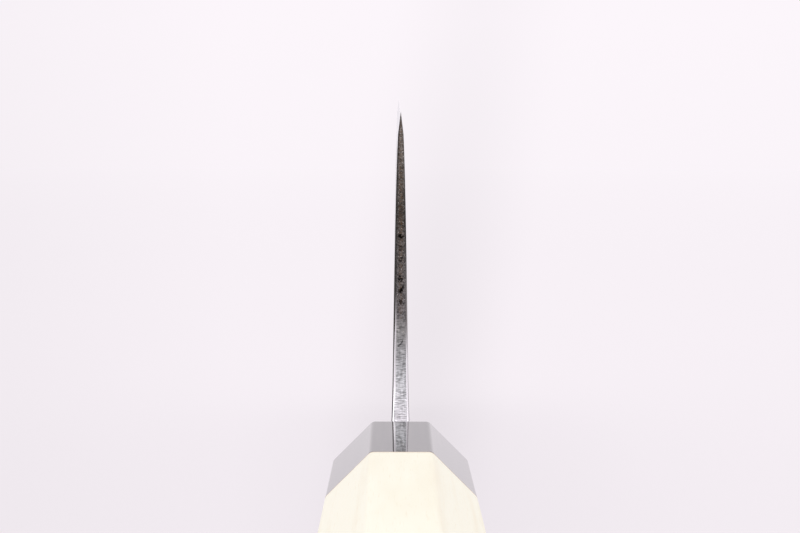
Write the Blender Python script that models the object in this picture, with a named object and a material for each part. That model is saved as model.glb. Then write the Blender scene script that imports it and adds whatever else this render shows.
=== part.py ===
"""A nakiri, the Japanese vegetable knife, with a laminated blade and an octagonal wooden handle.

Sizes are in metres. The knife stands edge up, the way it is held to look along its heel: +Y runs
from the butt of the handle to the front of the blade, +Z is up, towards the cutting edge, and +X is
to the right. Every piece is drawn from a datum on the handle's axis, at the front face of the
ferrule. One empty carries the whole knife from that datum to its origin, which is at the middle of
its length and width, level with its lowest point.
"""

import math

import bmesh
import bpy

# Handle: an octagon that grows from the ferrule's front face to the butt
HANDLE_LENGTH = 0.128
FERRULE_LENGTH = 0.028
WIDTH_FRONT = 0.0175
WIDTH_BUTT = 0.0203
HEIGHT_FRONT = 0.0212
HEIGHT_BUTT = 0.0236
CORNER_CUT_FRONT = 0.00515
CORNER_CUT_BUTT = 0.0064
RIDGE_RADIUS = 0.0009
BUTT_CHAMFER = 0.0012
FERRULE_CHAMFER = 0.0004

# Blade outline
BLADE_LENGTH = 0.165
HEEL_HEIGHT = 0.057
SPINE_BELOW_AXIS = 0.0070
SPINE_RISE = 0.0022
EDGE_DROP = 0.0024
FLAT_EDGE_SHARE = 0.55
FRONT_SPINE_RADIUS = 0.014
FRONT_EDGE_RADIUS = 0.004
NECK_LENGTH = 0.014
NECK_HEIGHT = 0.0130
NECK_FLAT = 0.0020
CHOIL_RISE = 0.0150

# Blade thickness: a convex grind that ends in a straight edge bevel
NECK_THICKNESS = 0.0025
SPINE_THICKNESS_HEEL = 0.0025
SPINE_THICKNESS_FRONT = 0.0018
GRIND_POWER = 0.42
EDGE_BEVEL = 0.0030
SHOULDER_LENGTH = 0.0070
CORE_THICKNESS = 0.0009
EASED_EDGE = 0.0003

# Tang, which steps in from the neck at the machi shoulders and tapers inside the handle
MACHI_GAP = 0.0008
TANG_HEIGHT = 0.0090
TANG_PARALLEL = 0.0080
TANG_END_HEIGHT = 0.0045
TANG_END_THICKNESS = 0.0016
WOOD_BEHIND_TANG = 0.036

# Dowel that joins the ferrule to the handle and takes the tang, and the resin that seals its mouth
DOWEL_IN_BODY = 0.036
DOWEL_WALL = 0.0004
DOWEL_CHAMFER = 0.0008
SEAL_DEPTH = 0.0025
SEAL_WIDTH = 0.0012

# Clearances
FIT_GAP = 0.0003
HOLE_END_GAP = 0.0010

# Drawing: how finely curves are stepped, and how far a cutting shape runs past what it cuts
GRIND_STEPS = 9
GRIND_STEP_GROWTH = 1.8
BLADE_STATIONS = 12
SHOULDER_STEPS = 5
CHOIL_STEPS = 12
CORNER_STEPS = 8
RIDGE_STEPS = 3
CIRCLE_SIDES = 48
DRILL_POINT_ANGLE = math.radians(118)
SMOOTH_ANGLE = math.radians(35)
MERGE_DISTANCE = 1e-7
OVERSHOOT = 0.0010
EASE_MARGIN = 0.0001

# Places that follow from the sizes above
TANG_LENGTH = HANDLE_LENGTH - WOOD_BEHIND_TANG
DOWEL_LENGTH = FERRULE_LENGTH + DOWEL_IN_BODY
HEEL_Y = NECK_LENGTH
FRONT_Y = NECK_LENGTH + BLADE_LENGTH
SPINE_Z = -SPINE_BELOW_AXIS
NECK_Z = SPINE_Z + NECK_HEIGHT
CORE_HALF = CORE_THICKNESS / 2
CHOIL_DEPTH = NECK_LENGTH - MACHI_GAP - NECK_FLAT
BLANK_HALF_WIDTH = max(NECK_THICKNESS, SPINE_THICKNESS_HEEL) / 2 + OVERSHOOT
DOWEL_RADIUS = DOWEL_WALL + math.hypot(
    TANG_HEIGHT / 2 + SEAL_WIDTH,
    NECK_THICKNESS / 2 + SEAL_WIDTH,
)


def between(start, end, share):
    return start + (end - start) * share


def smooth_step(share):
    share = min(max(share, 0.0), 1.0)
    return share * share * (3 - 2 * share)


# Handle shape


def handle_size(y):
    """Width, height and corner cut of the octagon at a distance y from the ferrule's front face."""
    share = -y / HANDLE_LENGTH
    return (
        between(WIDTH_FRONT, WIDTH_BUTT, share),
        between(HEIGHT_FRONT, HEIGHT_BUTT, share),
        between(CORNER_CUT_FRONT, CORNER_CUT_BUTT, share),
    )


def octagon(y, inset=0.0):
    """The octagon at y with eased ridges, as (x, z) points, drawn in by inset on every side."""
    width, height, cut = handle_size(y)
    half_width = width / 2 - inset
    half_height = height / 2 - inset
    cut -= inset * (2 - math.sqrt(2))
    corners = [(half_width, half_height - cut), (half_width - cut, half_height)]
    corners += [(-x, z) for x, z in reversed(corners)]
    corners += [(-x, -z) for x, z in corners]
    points = []
    turn = math.tau / len(corners)
    for number, (x, z) in enumerate(corners):
        first = turn * number
        second = turn * (number + 1)
        reach = RIDGE_RADIUS / (1 + math.cos(turn))
        centre_x = x - reach * (math.cos(first) + math.cos(second))
        centre_z = z - reach * (math.sin(first) + math.sin(second))
        for step in range(RIDGE_STEPS + 1):
            angle = between(first, second, step / RIDGE_STEPS)
            out_x = RIDGE_RADIUS * math.cos(angle)
            out_z = RIDGE_RADIUS * math.sin(angle)
            points.append((centre_x + out_x, centre_z + out_z))
    return points


# Blade shape


def along_blade(y):
    """Share of the blade's length at y, 0 at the heel and 1 at the front."""
    return min(max((y - HEEL_Y) / BLADE_LENGTH, 0.0), 1.0)


def spine_z(y):
    return SPINE_Z + SPINE_RISE * along_blade(y) ** 2


def edge_z(y):
    """The cutting edge is straight from the heel, and falls away towards the front."""
    past_flat = max(along_blade(y) - FLAT_EDGE_SHARE, 0.0) / (1 - FLAT_EDGE_SHARE)
    return SPINE_Z + HEEL_HEIGHT - EDGE_DROP * past_flat**2


def tang_height(y):
    share = (-y - TANG_PARALLEL) / (TANG_LENGTH - TANG_PARALLEL)
    return between(TANG_HEIGHT, TANG_END_HEIGHT, min(max(share, 0.0), 1.0))


def flat_thickness(y):
    """Thickness of the neck and the tang, which have flat sides."""
    share = (-y - TANG_PARALLEL) / (TANG_LENGTH - TANG_PARALLEL)
    return between(NECK_THICKNESS, TANG_END_THICKNESS, min(max(share, 0.0), 1.0))


def ground_thickness(y, from_edge):
    """Thickness of the ground blade at y, at a distance from_edge below the cutting edge."""
    height = edge_z(y) - spine_z(y)
    spine = between(SPINE_THICKNESS_HEEL, SPINE_THICKNESS_FRONT, along_blade(y))
    if from_edge <= 0:
        return 0.0
    if from_edge < EDGE_BEVEL:
        return spine * (EDGE_BEVEL / height) ** GRIND_POWER * from_edge / EDGE_BEVEL
    return spine * (from_edge / height) ** GRIND_POWER


def thickness(y, z):
    """Thickness of the blade, neck or tang at a point of its outline."""
    shoulder = smooth_step((HEEL_Y - y) / SHOULDER_LENGTH)
    return between(ground_thickness(y, edge_z(y) - z), flat_thickness(y), shoulder)


def grind_depths(y):
    """Distances below the edge at which a section is drawn, closer together towards the edge."""
    height = edge_z(y) - spine_z(y)
    shares = [(step / GRIND_STEPS) ** GRIND_STEP_GROWTH for step in range(1, GRIND_STEPS + 1)]
    return [0.0, EDGE_BEVEL] + [between(EDGE_BEVEL, height, share) for share in shares]


def arc(centre, radii, start, end, steps):
    """Points of an ellipse's arc, with its angles in degrees, in the plane of the outline."""
    angles = [math.radians(between(start, end, step / steps)) for step in range(steps + 1)]
    return [(centre[0] + radii[0] * math.cos(a), centre[1] + radii[1] * math.sin(a)) for a in angles]


def outline():
    """The blade, neck and tang from the side, as (y, z) points, drawn a little past the edge."""
    top = edge_z(HEEL_Y) + OVERSHOOT
    choil_top = NECK_Z + CHOIL_RISE
    half_mouth = TANG_HEIGHT / 2
    half_end = TANG_END_HEIGHT / 2
    round_y = -TANG_LENGTH + half_end

    points = [(HEEL_Y, top)]
    levels = [edge_z(HEEL_Y) - depth for depth in grind_depths(HEEL_Y)]
    points += [(HEEL_Y, z) for z in levels if z > choil_top + OVERSHOOT]
    points += arc((HEEL_Y - CHOIL_DEPTH, choil_top), (CHOIL_DEPTH, CHOIL_RISE), 0, -90, CHOIL_STEPS)
    points += [(MACHI_GAP, NECK_Z), (MACHI_GAP, half_mouth), (-TANG_PARALLEL, half_mouth)]
    points += arc((round_y, 0), (half_end, half_end), 90, 270, CORNER_STEPS)
    points += [(-TANG_PARALLEL, -half_mouth), (MACHI_GAP, -half_mouth)]
    points += [(MACHI_GAP, SPINE_Z), (HEEL_Y, SPINE_Z)]

    corner_y = FRONT_Y - FRONT_SPINE_RADIUS
    for step in range(1, BLADE_STATIONS):
        y = between(HEEL_Y, corner_y, step / BLADE_STATIONS)
        points.append((y, spine_z(y)))
    corner = (corner_y, spine_z(corner_y) + FRONT_SPINE_RADIUS)
    points += arc(corner, (FRONT_SPINE_RADIUS, FRONT_SPINE_RADIUS), -90, 0, CORNER_STEPS)

    corner_y = FRONT_Y - FRONT_EDGE_RADIUS
    edge_corner = (corner_y, edge_z(corner_y) - FRONT_EDGE_RADIUS)
    levels = [edge_z(FRONT_Y) - depth for depth in reversed(grind_depths(FRONT_Y))]
    low, high = corner[1] + OVERSHOOT, edge_corner[1] - OVERSHOOT
    points += [(FRONT_Y, z) for z in levels if low < z < high]
    points += arc(edge_corner, (FRONT_EDGE_RADIUS, FRONT_EDGE_RADIUS), 0, 90, CORNER_STEPS)
    points.append((edge_corner[0], top))
    return points


def inward(points):
    """For each point of a closed outline, the step inwards that moves both of its sides in by one unit."""
    steps = []
    for number, (y, z) in enumerate(points):
        before, after = points[number - 1], points[(number + 1) % len(points)]
        first = unit(y - before[0], z - before[1])
        second = unit(after[0] - y, after[1] - z)
        # The outline is drawn with the metal on its left.
        left_y = -(first[1] + second[1])
        left_z = first[0] + second[0]
        share = 1 + first[0] * second[0] + first[1] * second[1]
        steps.append((left_y / share, left_z / share))
    return steps


def unit(y, z):
    length = math.hypot(y, z)
    return y / length, z / length


# Building blocks


def new_material(name, hex_colour, roughness, metallic=0.0):
    """A plain surface from an sRGB hex colour."""
    shares = [int(hex_colour[i : i + 2], 16) / 255 for i in (0, 2, 4)]
    linear = [s / 12.92 if s <= 0.04045 else ((s + 0.055) / 1.055) ** 2.4 for s in shares]
    material = bpy.data.materials.new(name)
    material.use_nodes = True
    shader = material.node_tree.nodes["Principled BSDF"]
    shader.inputs["Base Color"].default_value = (*linear, 1.0)
    shader.inputs["Roughness"].default_value = roughness
    shader.inputs["Metallic"].default_value = metallic
    return material


def loft(name, rings):
    """A closed mesh through rings of (x, y, z) points, all with the same count, with a face on both ends."""
    form = bmesh.new()
    rows = [[form.verts.new(point) for point in ring] for ring in rings]
    for row, following in zip(rows, rows[1:]):
        for number in range(len(row)):
            after = (number + 1) % len(row)
            form.faces.new((row[number], row[after], following[after], following[number]))
    form.faces.new(rows[0])
    form.faces.new(rows[-1])
    bmesh.ops.remove_doubles(form, verts=form.verts, dist=MERGE_DISTANCE)
    bmesh.ops.recalc_face_normals(form, faces=form.faces)
    mesh = bpy.data.meshes.new(name)
    form.to_mesh(mesh)
    form.free()
    return mesh


def place(name, mesh, knife, y=0.0, material=None):
    """An object on the handle's axis, with its own origin at y from the datum."""
    piece = bpy.data.objects.new(name, mesh)
    bpy.context.scene.collection.objects.link(piece)
    piece.parent = knife
    piece.location = (0, y, 0)
    if material:
        mesh.materials.append(material)
        mesh.shade_smooth()
        mesh.set_sharp_from_angle(angle=SMOOTH_ANGLE)
    else:
        piece.hide_render = True
        piece.display_type = "WIRE"
    return piece


def cut(piece, tool, operation="DIFFERENCE"):
    boolean = piece.modifiers.new(tool.name, "BOOLEAN")
    boolean.operation = operation
    boolean.solver = "EXACT"
    boolean.object = tool


def circle(radius, y):
    angles = [math.tau * number / CIRCLE_SIDES for number in range(CIRCLE_SIDES)]
    return [(radius * math.cos(a), y, radius * math.sin(a)) for a in angles]


def rectangle(half_x, half_z, y):
    return [(half_x, y, half_z), (-half_x, y, half_z), (-half_x, y, -half_z), (half_x, y, -half_z)]


def octagon_ring(y, inset=0.0, origin=0.0):
    return [(x, y - origin, z) for x, z in octagon(y, inset)]


# Pieces


def make_ferrule(knife, material):
    """The horn ferrule: the front of the octagon, bored through for the dowel."""
    rings = [
        octagon_ring(0, FERRULE_CHAMFER),
        octagon_ring(-FERRULE_CHAMFER),
        octagon_ring(-FERRULE_LENGTH),
    ]
    ferrule = place("ferrule", loft("ferrule", rings), knife, material=material)
    radius = DOWEL_RADIUS + FIT_GAP
    bore = [circle(radius, OVERSHOOT), circle(radius, -FERRULE_LENGTH - OVERSHOOT)]
    cut(ferrule, place("ferrule_bore", loft("ferrule_bore", bore), knife))


def make_handle_body(knife, material):
    """The wooden grip, bored from its front for the dowel and, narrower, for the end of the tang."""
    joint = -FERRULE_LENGTH
    rings = [
        octagon_ring(joint, origin=joint),
        octagon_ring(-HANDLE_LENGTH + BUTT_CHAMFER, origin=joint),
        octagon_ring(-HANDLE_LENGTH, BUTT_CHAMFER, origin=joint),
    ]
    body = place("handle_body", loft("handle_body", rings), knife, joint, material)
    wide = DOWEL_RADIUS + FIT_GAP
    narrow = FIT_GAP + math.hypot(tang_height(-DOWEL_LENGTH) / 2, flat_thickness(-DOWEL_LENGTH) / 2)
    step = joint - DOWEL_IN_BODY - HOLE_END_GAP
    end = -TANG_LENGTH - HOLE_END_GAP
    drill_point = narrow / math.tan(DRILL_POINT_ANGLE / 2)
    drilled = [
        circle(wide, joint + OVERSHOOT),
        circle(wide, step),
        circle(narrow, step),
        circle(narrow, end),
        circle(narrow / CIRCLE_SIDES, end - drill_point),
    ]
    drilled = [[(x, y - joint, z) for x, y, z in ring] for ring in drilled]
    cut(body, place("tang_hole", loft("tang_hole", drilled), knife, joint))


def make_dowel(knife, material):
    """The dowel through the ferrule, slotted for the tang and pocketed at its mouth for the seal."""
    rings = [
        circle(DOWEL_RADIUS, 0),
        circle(DOWEL_RADIUS, -DOWEL_LENGTH + DOWEL_CHAMFER),
        circle(DOWEL_RADIUS - DOWEL_CHAMFER, -DOWEL_LENGTH),
    ]
    dowel = place("tang_dowel", loft("tang_dowel", rings), knife, material=material)

    def slot_ring(y):
        half_x = flat_thickness(y) / 2 + FIT_GAP
        half_z = tang_height(y) / 2 + FIT_GAP
        return rectangle(half_x, half_z, y)

    slot = [slot_ring(OVERSHOOT), slot_ring(-TANG_PARALLEL), slot_ring(-DOWEL_LENGTH - OVERSHOOT)]
    cut(dowel, place("tang_slot", loft("tang_slot", slot), knife))
    half_x = NECK_THICKNESS / 2 + SEAL_WIDTH
    half_z = TANG_HEIGHT / 2 + SEAL_WIDTH
    pocket = [rectangle(half_x, half_z, OVERSHOOT), rectangle(half_x, half_z, -SEAL_DEPTH)]
    cut(dowel, place("seal_pocket", loft("seal_pocket", pocket), knife))


def make_seal(knife, material):
    """The resin round the tang at the mouth of the handle, flush with the ferrule."""
    outer_x = NECK_THICKNESS / 2 + SEAL_WIDTH - FIT_GAP
    outer_z = TANG_HEIGHT / 2 + SEAL_WIDTH - FIT_GAP
    inner_x = NECK_THICKNESS / 2 + FIT_GAP
    inner_z = TANG_HEIGHT / 2 + FIT_GAP
    end = -SEAL_DEPTH + FIT_GAP
    block = [rectangle(outer_x, outer_z, 0), rectangle(outer_x, outer_z, end)]
    seal = place("tang_seal", loft("tang_seal", block), knife, material=material)
    hole = [rectangle(inner_x, inner_z, OVERSHOOT), rectangle(inner_x, inner_z, end - OVERSHOOT)]
    cut(seal, place("seal_hole", loft("seal_hole", hole), knife))


def make_grind(knife):
    """The wedge that the grinding leaves, run on as flat sides along the neck and the tang."""
    stations = [-TANG_LENGTH - OVERSHOOT, -TANG_LENGTH, -TANG_PARALLEL]
    steps = range(SHOULDER_STEPS)
    stations += [between(HEEL_Y - SHOULDER_LENGTH, HEEL_Y, step / SHOULDER_STEPS) for step in steps]
    steps = range(BLADE_STATIONS + 1)
    stations += [between(HEEL_Y, FRONT_Y, step / BLADE_STATIONS) for step in steps]
    stations.append(FRONT_Y + OVERSHOOT)
    rings = []
    for y in stations:
        levels = [edge_z(y) - depth for depth in grind_depths(y)]
        halves = [thickness(y, z) / 2 for z in levels]
        # The sides run on past the spine by as much as the outline may overshoot.
        levels.append(levels[-1] - OVERSHOOT)
        halves.append(halves[-1])
        right = [(half, y, z) for half, z in zip(halves, levels)]
        left = [(-half, y, z) for half, z in zip(halves, levels)]
        rings.append(right + left[::-1])
    return place("grind_shape", loft("grind_shape", rings), knife)


def make_core(knife, grind, material):
    """The hard steel layer in the middle, which alone reaches the cutting edge."""
    points = outline()
    rings = [[(x, y, z) for y, z in points] for x in (-CORE_HALF, CORE_HALF)]
    core = place("blade_core", loft("blade_core", rings), knife, material=material)
    cut(core, grind, "INTERSECT")


def make_cladding(name, side, knife, grind, material):
    """A soft layer on one side of the core. Its outline is eased where it meets the outer face."""
    points = outline()
    steps = inward(points)
    rings = [[(side * CORE_HALF, y, z) for y, z in points], [], [], []]
    for (y, z), (step_y, step_z) in zip(points, steps):
        room = max(thickness(y, z) / 2 - CORE_HALF, EASE_MARGIN)
        ease = min(EASED_EDGE, room / 2)
        inset = ease + EASE_MARGIN
        inner_y, inner_z = y + step_y * inset, z + step_z * inset
        rings[1].append((side * (CORE_HALF + room - ease), y, z))
        rings[2].append((side * (CORE_HALF + room - ease + inset), inner_y, inner_z))
        rings[3].append((side * BLANK_HALF_WIDTH, inner_y, inner_z))
    cladding = place(name, loft(name, rings), knife, material=material)
    cut(cladding, grind, "INTERSECT")


def lowest_z():
    """The lowest point below the handle's axis: the wood just before its butt chamfer, or the spine."""
    return min(-handle_size(-HANDLE_LENGTH + BUTT_CHAMFER)[1] / 2, SPINE_Z)


def main():
    for old in list(bpy.data.objects):
        bpy.data.objects.remove(old)
    knife = bpy.data.objects.new("knife", None)
    bpy.context.scene.collection.objects.link(knife)
    knife.location = (0, (HANDLE_LENGTH - FRONT_Y) / 2, -lowest_z())

    horn = new_material("black_horn", "1b1a1c", 0.12)
    magnolia = new_material("magnolia_wood", "f0e4c8", 0.5)
    hardwood = new_material("dowel_wood", "d9bf94", 0.6)
    resin = new_material("sealing_resin", "2a211b", 0.35)
    hard_steel = new_material("core_steel", "b9bbbf", 0.22, 1.0)
    soft_steel = new_material("cladding_steel", "8d8c8c", 0.38, 1.0)

    make_ferrule(knife, horn)
    make_handle_body(knife, magnolia)
    make_dowel(knife, hardwood)
    make_seal(knife, resin)
    grind = make_grind(knife)
    make_core(knife, grind, hard_steel)
    make_cladding("cladding_right", 1, knife, grind, soft_steel)
    make_cladding("cladding_left", -1, knife, grind, soft_steel)


main()
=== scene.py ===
# %% [markdown]
# # A nakiri knife, looked at along its heel
#
# A nakiri is the Japanese knife for vegetables: a tall, thin blade with a straight edge. The knife
# stands edge up here, and the camera looks along it from behind the handle, which is how a smith
# shows the thickness of a blade. This lesson dresses a finished CAD model. The model gives every
# size and place, and the cells below give each surface its real shape and finish.

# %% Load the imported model
import math

import bmesh
import bpy
import numpy as np
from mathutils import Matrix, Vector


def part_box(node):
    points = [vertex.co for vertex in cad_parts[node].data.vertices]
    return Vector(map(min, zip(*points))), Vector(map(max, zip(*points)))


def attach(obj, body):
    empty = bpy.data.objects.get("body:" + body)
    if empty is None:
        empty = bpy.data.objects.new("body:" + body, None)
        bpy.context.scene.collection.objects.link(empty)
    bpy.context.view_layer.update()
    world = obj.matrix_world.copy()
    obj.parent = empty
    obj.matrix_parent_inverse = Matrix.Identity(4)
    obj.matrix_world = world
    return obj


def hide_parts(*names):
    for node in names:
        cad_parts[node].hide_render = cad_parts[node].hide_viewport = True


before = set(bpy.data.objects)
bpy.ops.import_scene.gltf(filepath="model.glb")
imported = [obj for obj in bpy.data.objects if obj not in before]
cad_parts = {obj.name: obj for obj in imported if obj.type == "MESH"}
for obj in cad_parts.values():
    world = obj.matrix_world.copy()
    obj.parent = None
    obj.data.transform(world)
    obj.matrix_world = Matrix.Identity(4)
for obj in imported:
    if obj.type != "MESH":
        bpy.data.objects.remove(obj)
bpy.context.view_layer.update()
for node_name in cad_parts:
    low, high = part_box(node_name)
    print(node_name, [round(1000 * (b - a), 1) for a, b in zip(low, high)], "mm")

# %% [markdown]
# ## Where things are
#
# All sizes are in metres. The knife's datum lies on the handle's axis, at the front face of the
# ferrule, and places along the knife are counted from there. They are read from the boxes of the
# model's nodes.

# %% Places
MM = 0.001
ferrule_low, ferrule_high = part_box("ferrule")
body_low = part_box("handle_body")[0]
dowel_low, dowel_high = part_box("tang_dowel")
core_low, core_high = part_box("blade_core")

DATUM_Y = ferrule_high[1]
AXIS_Z = (dowel_low[2] + dowel_high[2]) / 2
JOINT_Y = ferrule_low[1]
BUTT_Y = body_low[1]
FRONT_Y = core_high[1]
TANG_END_Y = core_low[1]
EDGE_Z = core_high[2]
SPINE_Z = core_low[2]
CORE_THICKNESS = core_high[0] - core_low[0]
DOWEL_RADIUS = dowel_high[0]
print("datum", round(DATUM_Y, 4), round(AXIS_Z, 4), "edge above the axis", round(EDGE_Z - AXIS_Z, 4))

# %% [markdown]
# ## Two small helpers
#
# A colour is written as on a paint card, as a hex value, and turned to the linear light that a
# renderer works in. One function adds a node with its settings and links. It serves shader trees
# and Geometry Nodes trees alike, so that a tree reads as a list of its steps.

# %% Colour and nodes
def linear(hex_colour):
    """The linear RGBA of an sRGB hex colour."""
    shares = [int(hex_colour[i : i + 2], 16) / 255 for i in (0, 2, 4)]
    return (*[s / 12.92 if s <= 0.04045 else ((s + 0.055) / 1.055) ** 2.4 for s in shares], 1.0)


def add(tree, kind, inputs=None, **settings):
    """A new node. Each of its inputs is given a value, or the output of another node."""
    node = tree.nodes.new(kind)
    for name, value in settings.items():
        setattr(node, name, value)
    for key, value in (inputs or {}).items():
        if isinstance(value, bpy.types.NodeSocket):
            tree.links.new(value, node.inputs[key])
        else:
            node.inputs[key].default_value = value
    return node


print("pale cream", [round(c, 3) for c in linear("f7efd9")])

# %% [markdown]
# ## The camera
#
# The camera stands behind the butt of the handle and a little above it, with a long lens. Its
# place was worked out from the corners of the ferrule and the handle in the photograph.

# %% Camera
CAMERA_BEHIND = 341.3 * MM
CAMERA_ABOVE_AXIS = 58.51 * MM
CAMERA_LEFT = 1.066 * MM
CAMERA_PITCH = math.radians(4.687)
CAMERA_YAW = math.radians(0.152)
CAMERA_ROLL = math.radians(-0.093)
FOCAL_LENGTH = 120.4

camera_data = bpy.data.cameras.new("camera")
camera_data.lens = FOCAL_LENGTH
camera_data.sensor_width = 36
camera_data.clip_start = 0.01
camera = bpy.data.objects.new("camera", camera_data)
camera.location = (-CAMERA_LEFT, DATUM_Y - CAMERA_BEHIND, AXIS_Z + CAMERA_ABOVE_AXIS)
camera.rotation_euler = (math.pi / 2 - CAMERA_PITCH, CAMERA_ROLL, -CAMERA_YAW)
bpy.context.scene.collection.objects.link(camera)
bpy.context.scene.camera = camera
bpy.context.scene.view_settings.view_transform = "Standard"
print("camera", [round(c, 4) for c in camera.location])

# %% [markdown]
# ## Light and background
#
# The studio is a room of white paper. A pale world lights the knife from all sides, and one large
# soft panel high over the camera, a little to the left, gives the shapes a top side. What the
# camera sees of the world is the colour of the paper. What polished surfaces see is the same paper,
# with a darker place behind the camera, as the paper ends there and the room begins. That is what
# gives steel its depth. Low down, where the paper curves up from the table, it is a little
# brighter, which lifts the sides of the ferrule. No paper is evenly bright, and this one's light is
# painted: it darkens a little towards the table's front and towards the left, and a soft band of
# painted shade lies on it behind the blade. A picture of a studio could light the knife as well,
# but a few nodes are enough for paper, and each of them says what it does.

# %% Brightness of the paper
PAPER = "fcf6fb"
# Slopes at which the paper's light changes, downwards or sideways as the paper runs away along +Y.
FAR_DOWN = -0.01
NEAR_DOWN = 0.18
NEAR_LIGHT = 0.94
LEFT_END = -0.16
LEFT_START = -0.06
LEFT_SHADE = -0.05
# The band of painted shade behind the blade: where its middle lies far away, its slant, its reach to
# each side, and how it deepens.
SHADE_BAND_FAR = 0.030
SHADE_BAND_SLANT = -0.155
SHADE_BAND_REACH = 0.038
SHADE_BAND_DEEP_DOWN = 0.10
SHADE_BAND_FAR_SHADE = -0.036
SHADE_BAND_DEEP_SHADE = -0.082
SHADE_BAND_FADES_DOWN = 0.20
SHADE_BAND_ENDS_DOWN = 0.30


def paper_light(tree, across, down):
    """How bright the paper is at two slopes, to the right and downwards: 1 at its brightest.

    The paper's light is painted: it falls off towards the table's front and towards the left. A soft
    band of painted shade behind the blade slants a little, deepens towards the front and ends there.
    """
    slope = add(tree, "ShaderNodeMapRange", {0: down, 1: FAR_DOWN, 2: NEAR_DOWN, 3: 1.0, 4: NEAR_LIGHT})
    left = add(tree, "ShaderNodeMapRange", {0: across, 1: LEFT_END, 2: LEFT_START, 3: LEFT_SHADE, 4: 0.0})
    centre = add(tree, "ShaderNodeMath", {0: down, 1: SHADE_BAND_SLANT, 2: SHADE_BAND_FAR}, operation="MULTIPLY_ADD")
    aside = add(tree, "ShaderNodeMath", {0: across, 1: centre.outputs[0]}, operation="SUBTRACT")
    aside = add(tree, "ShaderNodeMath", {0: aside.outputs[0]}, operation="ABSOLUTE")
    depth = {0: down, 1: FAR_DOWN, 2: SHADE_BAND_DEEP_DOWN, 3: SHADE_BAND_FAR_SHADE, 4: SHADE_BAND_DEEP_SHADE}
    depth = add(tree, "ShaderNodeMapRange", depth)
    depth = {0: down, 1: SHADE_BAND_FADES_DOWN, 2: SHADE_BAND_ENDS_DOWN, 3: depth.outputs[0], 4: 0.0}
    depth = add(tree, "ShaderNodeMapRange", depth)
    # The band of painted shade behind the blade, deepest along its middle.
    shade_band = {0: aside.outputs[0], 2: SHADE_BAND_REACH, 3: depth.outputs[0], 4: 0.0}
    shade_band = add(tree, "ShaderNodeMapRange", shade_band, interpolation_type="SMOOTHSTEP")
    total = add(tree, "ShaderNodeMath", {0: slope.outputs[0], 1: left.outputs[0]}, operation="ADD")
    return add(tree, "ShaderNodeMath", {0: total.outputs[0], 1: shade_band.outputs[0]}, operation="ADD").outputs[0]


print("the fold darkens the paper by", -SHADE_BAND_DEEP_SHADE, "at most")

# %% World
WORLD_LIGHT = 0.82
# The dark place behind the camera: its light, and the shares of -Y in a direction at its borders.
ROOM_LIGHT = 0.5
ROOM_INNER = -0.99
ROOM_OUTER = -0.72
# The bright place low down: its light, and the shares of +Z at its borders.
LOW_GLOW = 1.09
GLOW_INNER = 0.03
GLOW_OUTER = 0.10

world = bpy.data.worlds.new("studio")
world.use_nodes = True
tree = world.node_tree
tree.nodes.clear()
direction = add(tree, "ShaderNodeTexCoord")
axes = add(tree, "ShaderNodeSeparateXYZ", {0: direction.outputs["Generated"]})
ahead = {0: axes.outputs["Y"], 1: ROOM_INNER, 2: ROOM_OUTER, 3: ROOM_LIGHT, 4: 1.0}
ahead = add(tree, "ShaderNodeMapRange", ahead)
low_down = {0: axes.outputs["Z"], 1: GLOW_INNER, 2: GLOW_OUTER, 3: LOW_GLOW, 4: 1.0}
low_down = add(tree, "ShaderNodeMapRange", low_down)
glow = add(tree, "ShaderNodeMath", {0: ahead.outputs[0], 1: low_down.outputs[0]}, operation="MULTIPLY")
rays = add(tree, "ShaderNodeLightPath")
mirrored = add(tree, "ShaderNodeBackground", {0: linear(PAPER), 1: glow.outputs[0]})
across = add(tree, "ShaderNodeMath", {0: axes.outputs["X"], 1: axes.outputs["Y"]}, operation="DIVIDE")
down = add(tree, "ShaderNodeMath", {0: axes.outputs["Z"], 1: axes.outputs["Y"]}, operation="DIVIDE")
down = add(tree, "ShaderNodeMath", {0: down.outputs[0], 1: -1.0}, operation="MULTIPLY")
# The background's painted light, with its band of painted shade.
light_there = paper_light(tree, across.outputs[0], down.outputs[0])
paper = add(tree, "ShaderNodeBackground", {0: linear(PAPER), 1: light_there})
light = add(tree, "ShaderNodeBackground", {0: linear("ffffff"), 1: WORLD_LIGHT})
clear = {0: rays.outputs["Is Camera Ray"], 1: rays.outputs["Is Transmission Ray"]}
clear = add(tree, "ShaderNodeMath", clear, operation="MAXIMUM")
shiny = {0: rays.outputs["Is Glossy Ray"], 1: light.outputs[0], 2: mirrored.outputs[0]}
shiny = add(tree, "ShaderNodeMixShader", shiny)
seen = add(tree, "ShaderNodeMixShader", {0: clear.outputs[0], 1: shiny.outputs[0], 2: paper.outputs[0]})
add(tree, "ShaderNodeOutputWorld", {0: seen.outputs[0]})
bpy.context.scene.world = world
print("world:", len(tree.nodes), "nodes")

# %% Lamp
PANEL_SIZE = 1.4
PANEL_HEIGHT = 1.3
PANEL_LEFT = 0.17
PANEL_BACK = 0.6
PANEL_POWER = 6.0

panel_data = bpy.data.lights.new("panel", "AREA")
panel_data.size = PANEL_SIZE
panel_data.energy = PANEL_POWER
panel = bpy.data.objects.new("panel", panel_data)
panel.location = (-PANEL_LEFT, -PANEL_BACK, PANEL_HEIGHT)
bpy.context.scene.collection.objects.link(panel)
print("panel", round(math.dist(panel.location, (0, 0, 0)), 2), "m away, of", PANEL_POWER, "W")

# %% [markdown]
# ## The floor
#
# The floor is a sheet of the same paper. It takes the knife's soft shadow, and further out it melts
# into the background, so that no horizon shows. It has the same painted light as the background,
# with the soft band of painted shade behind the blade, laid out on the sheet from a fixed point of
# the table, so that it stays where it is when another camera looks.

# %% Floor material
SHADOW_SHARE = 0.30
FADE_START = 0.25
FADE_END = 1.2
FIBRE_SIZE = 0.25
DULL_PAPER = "f9f1f8"
CLEAR_PAPER = "fef6fc"
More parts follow.
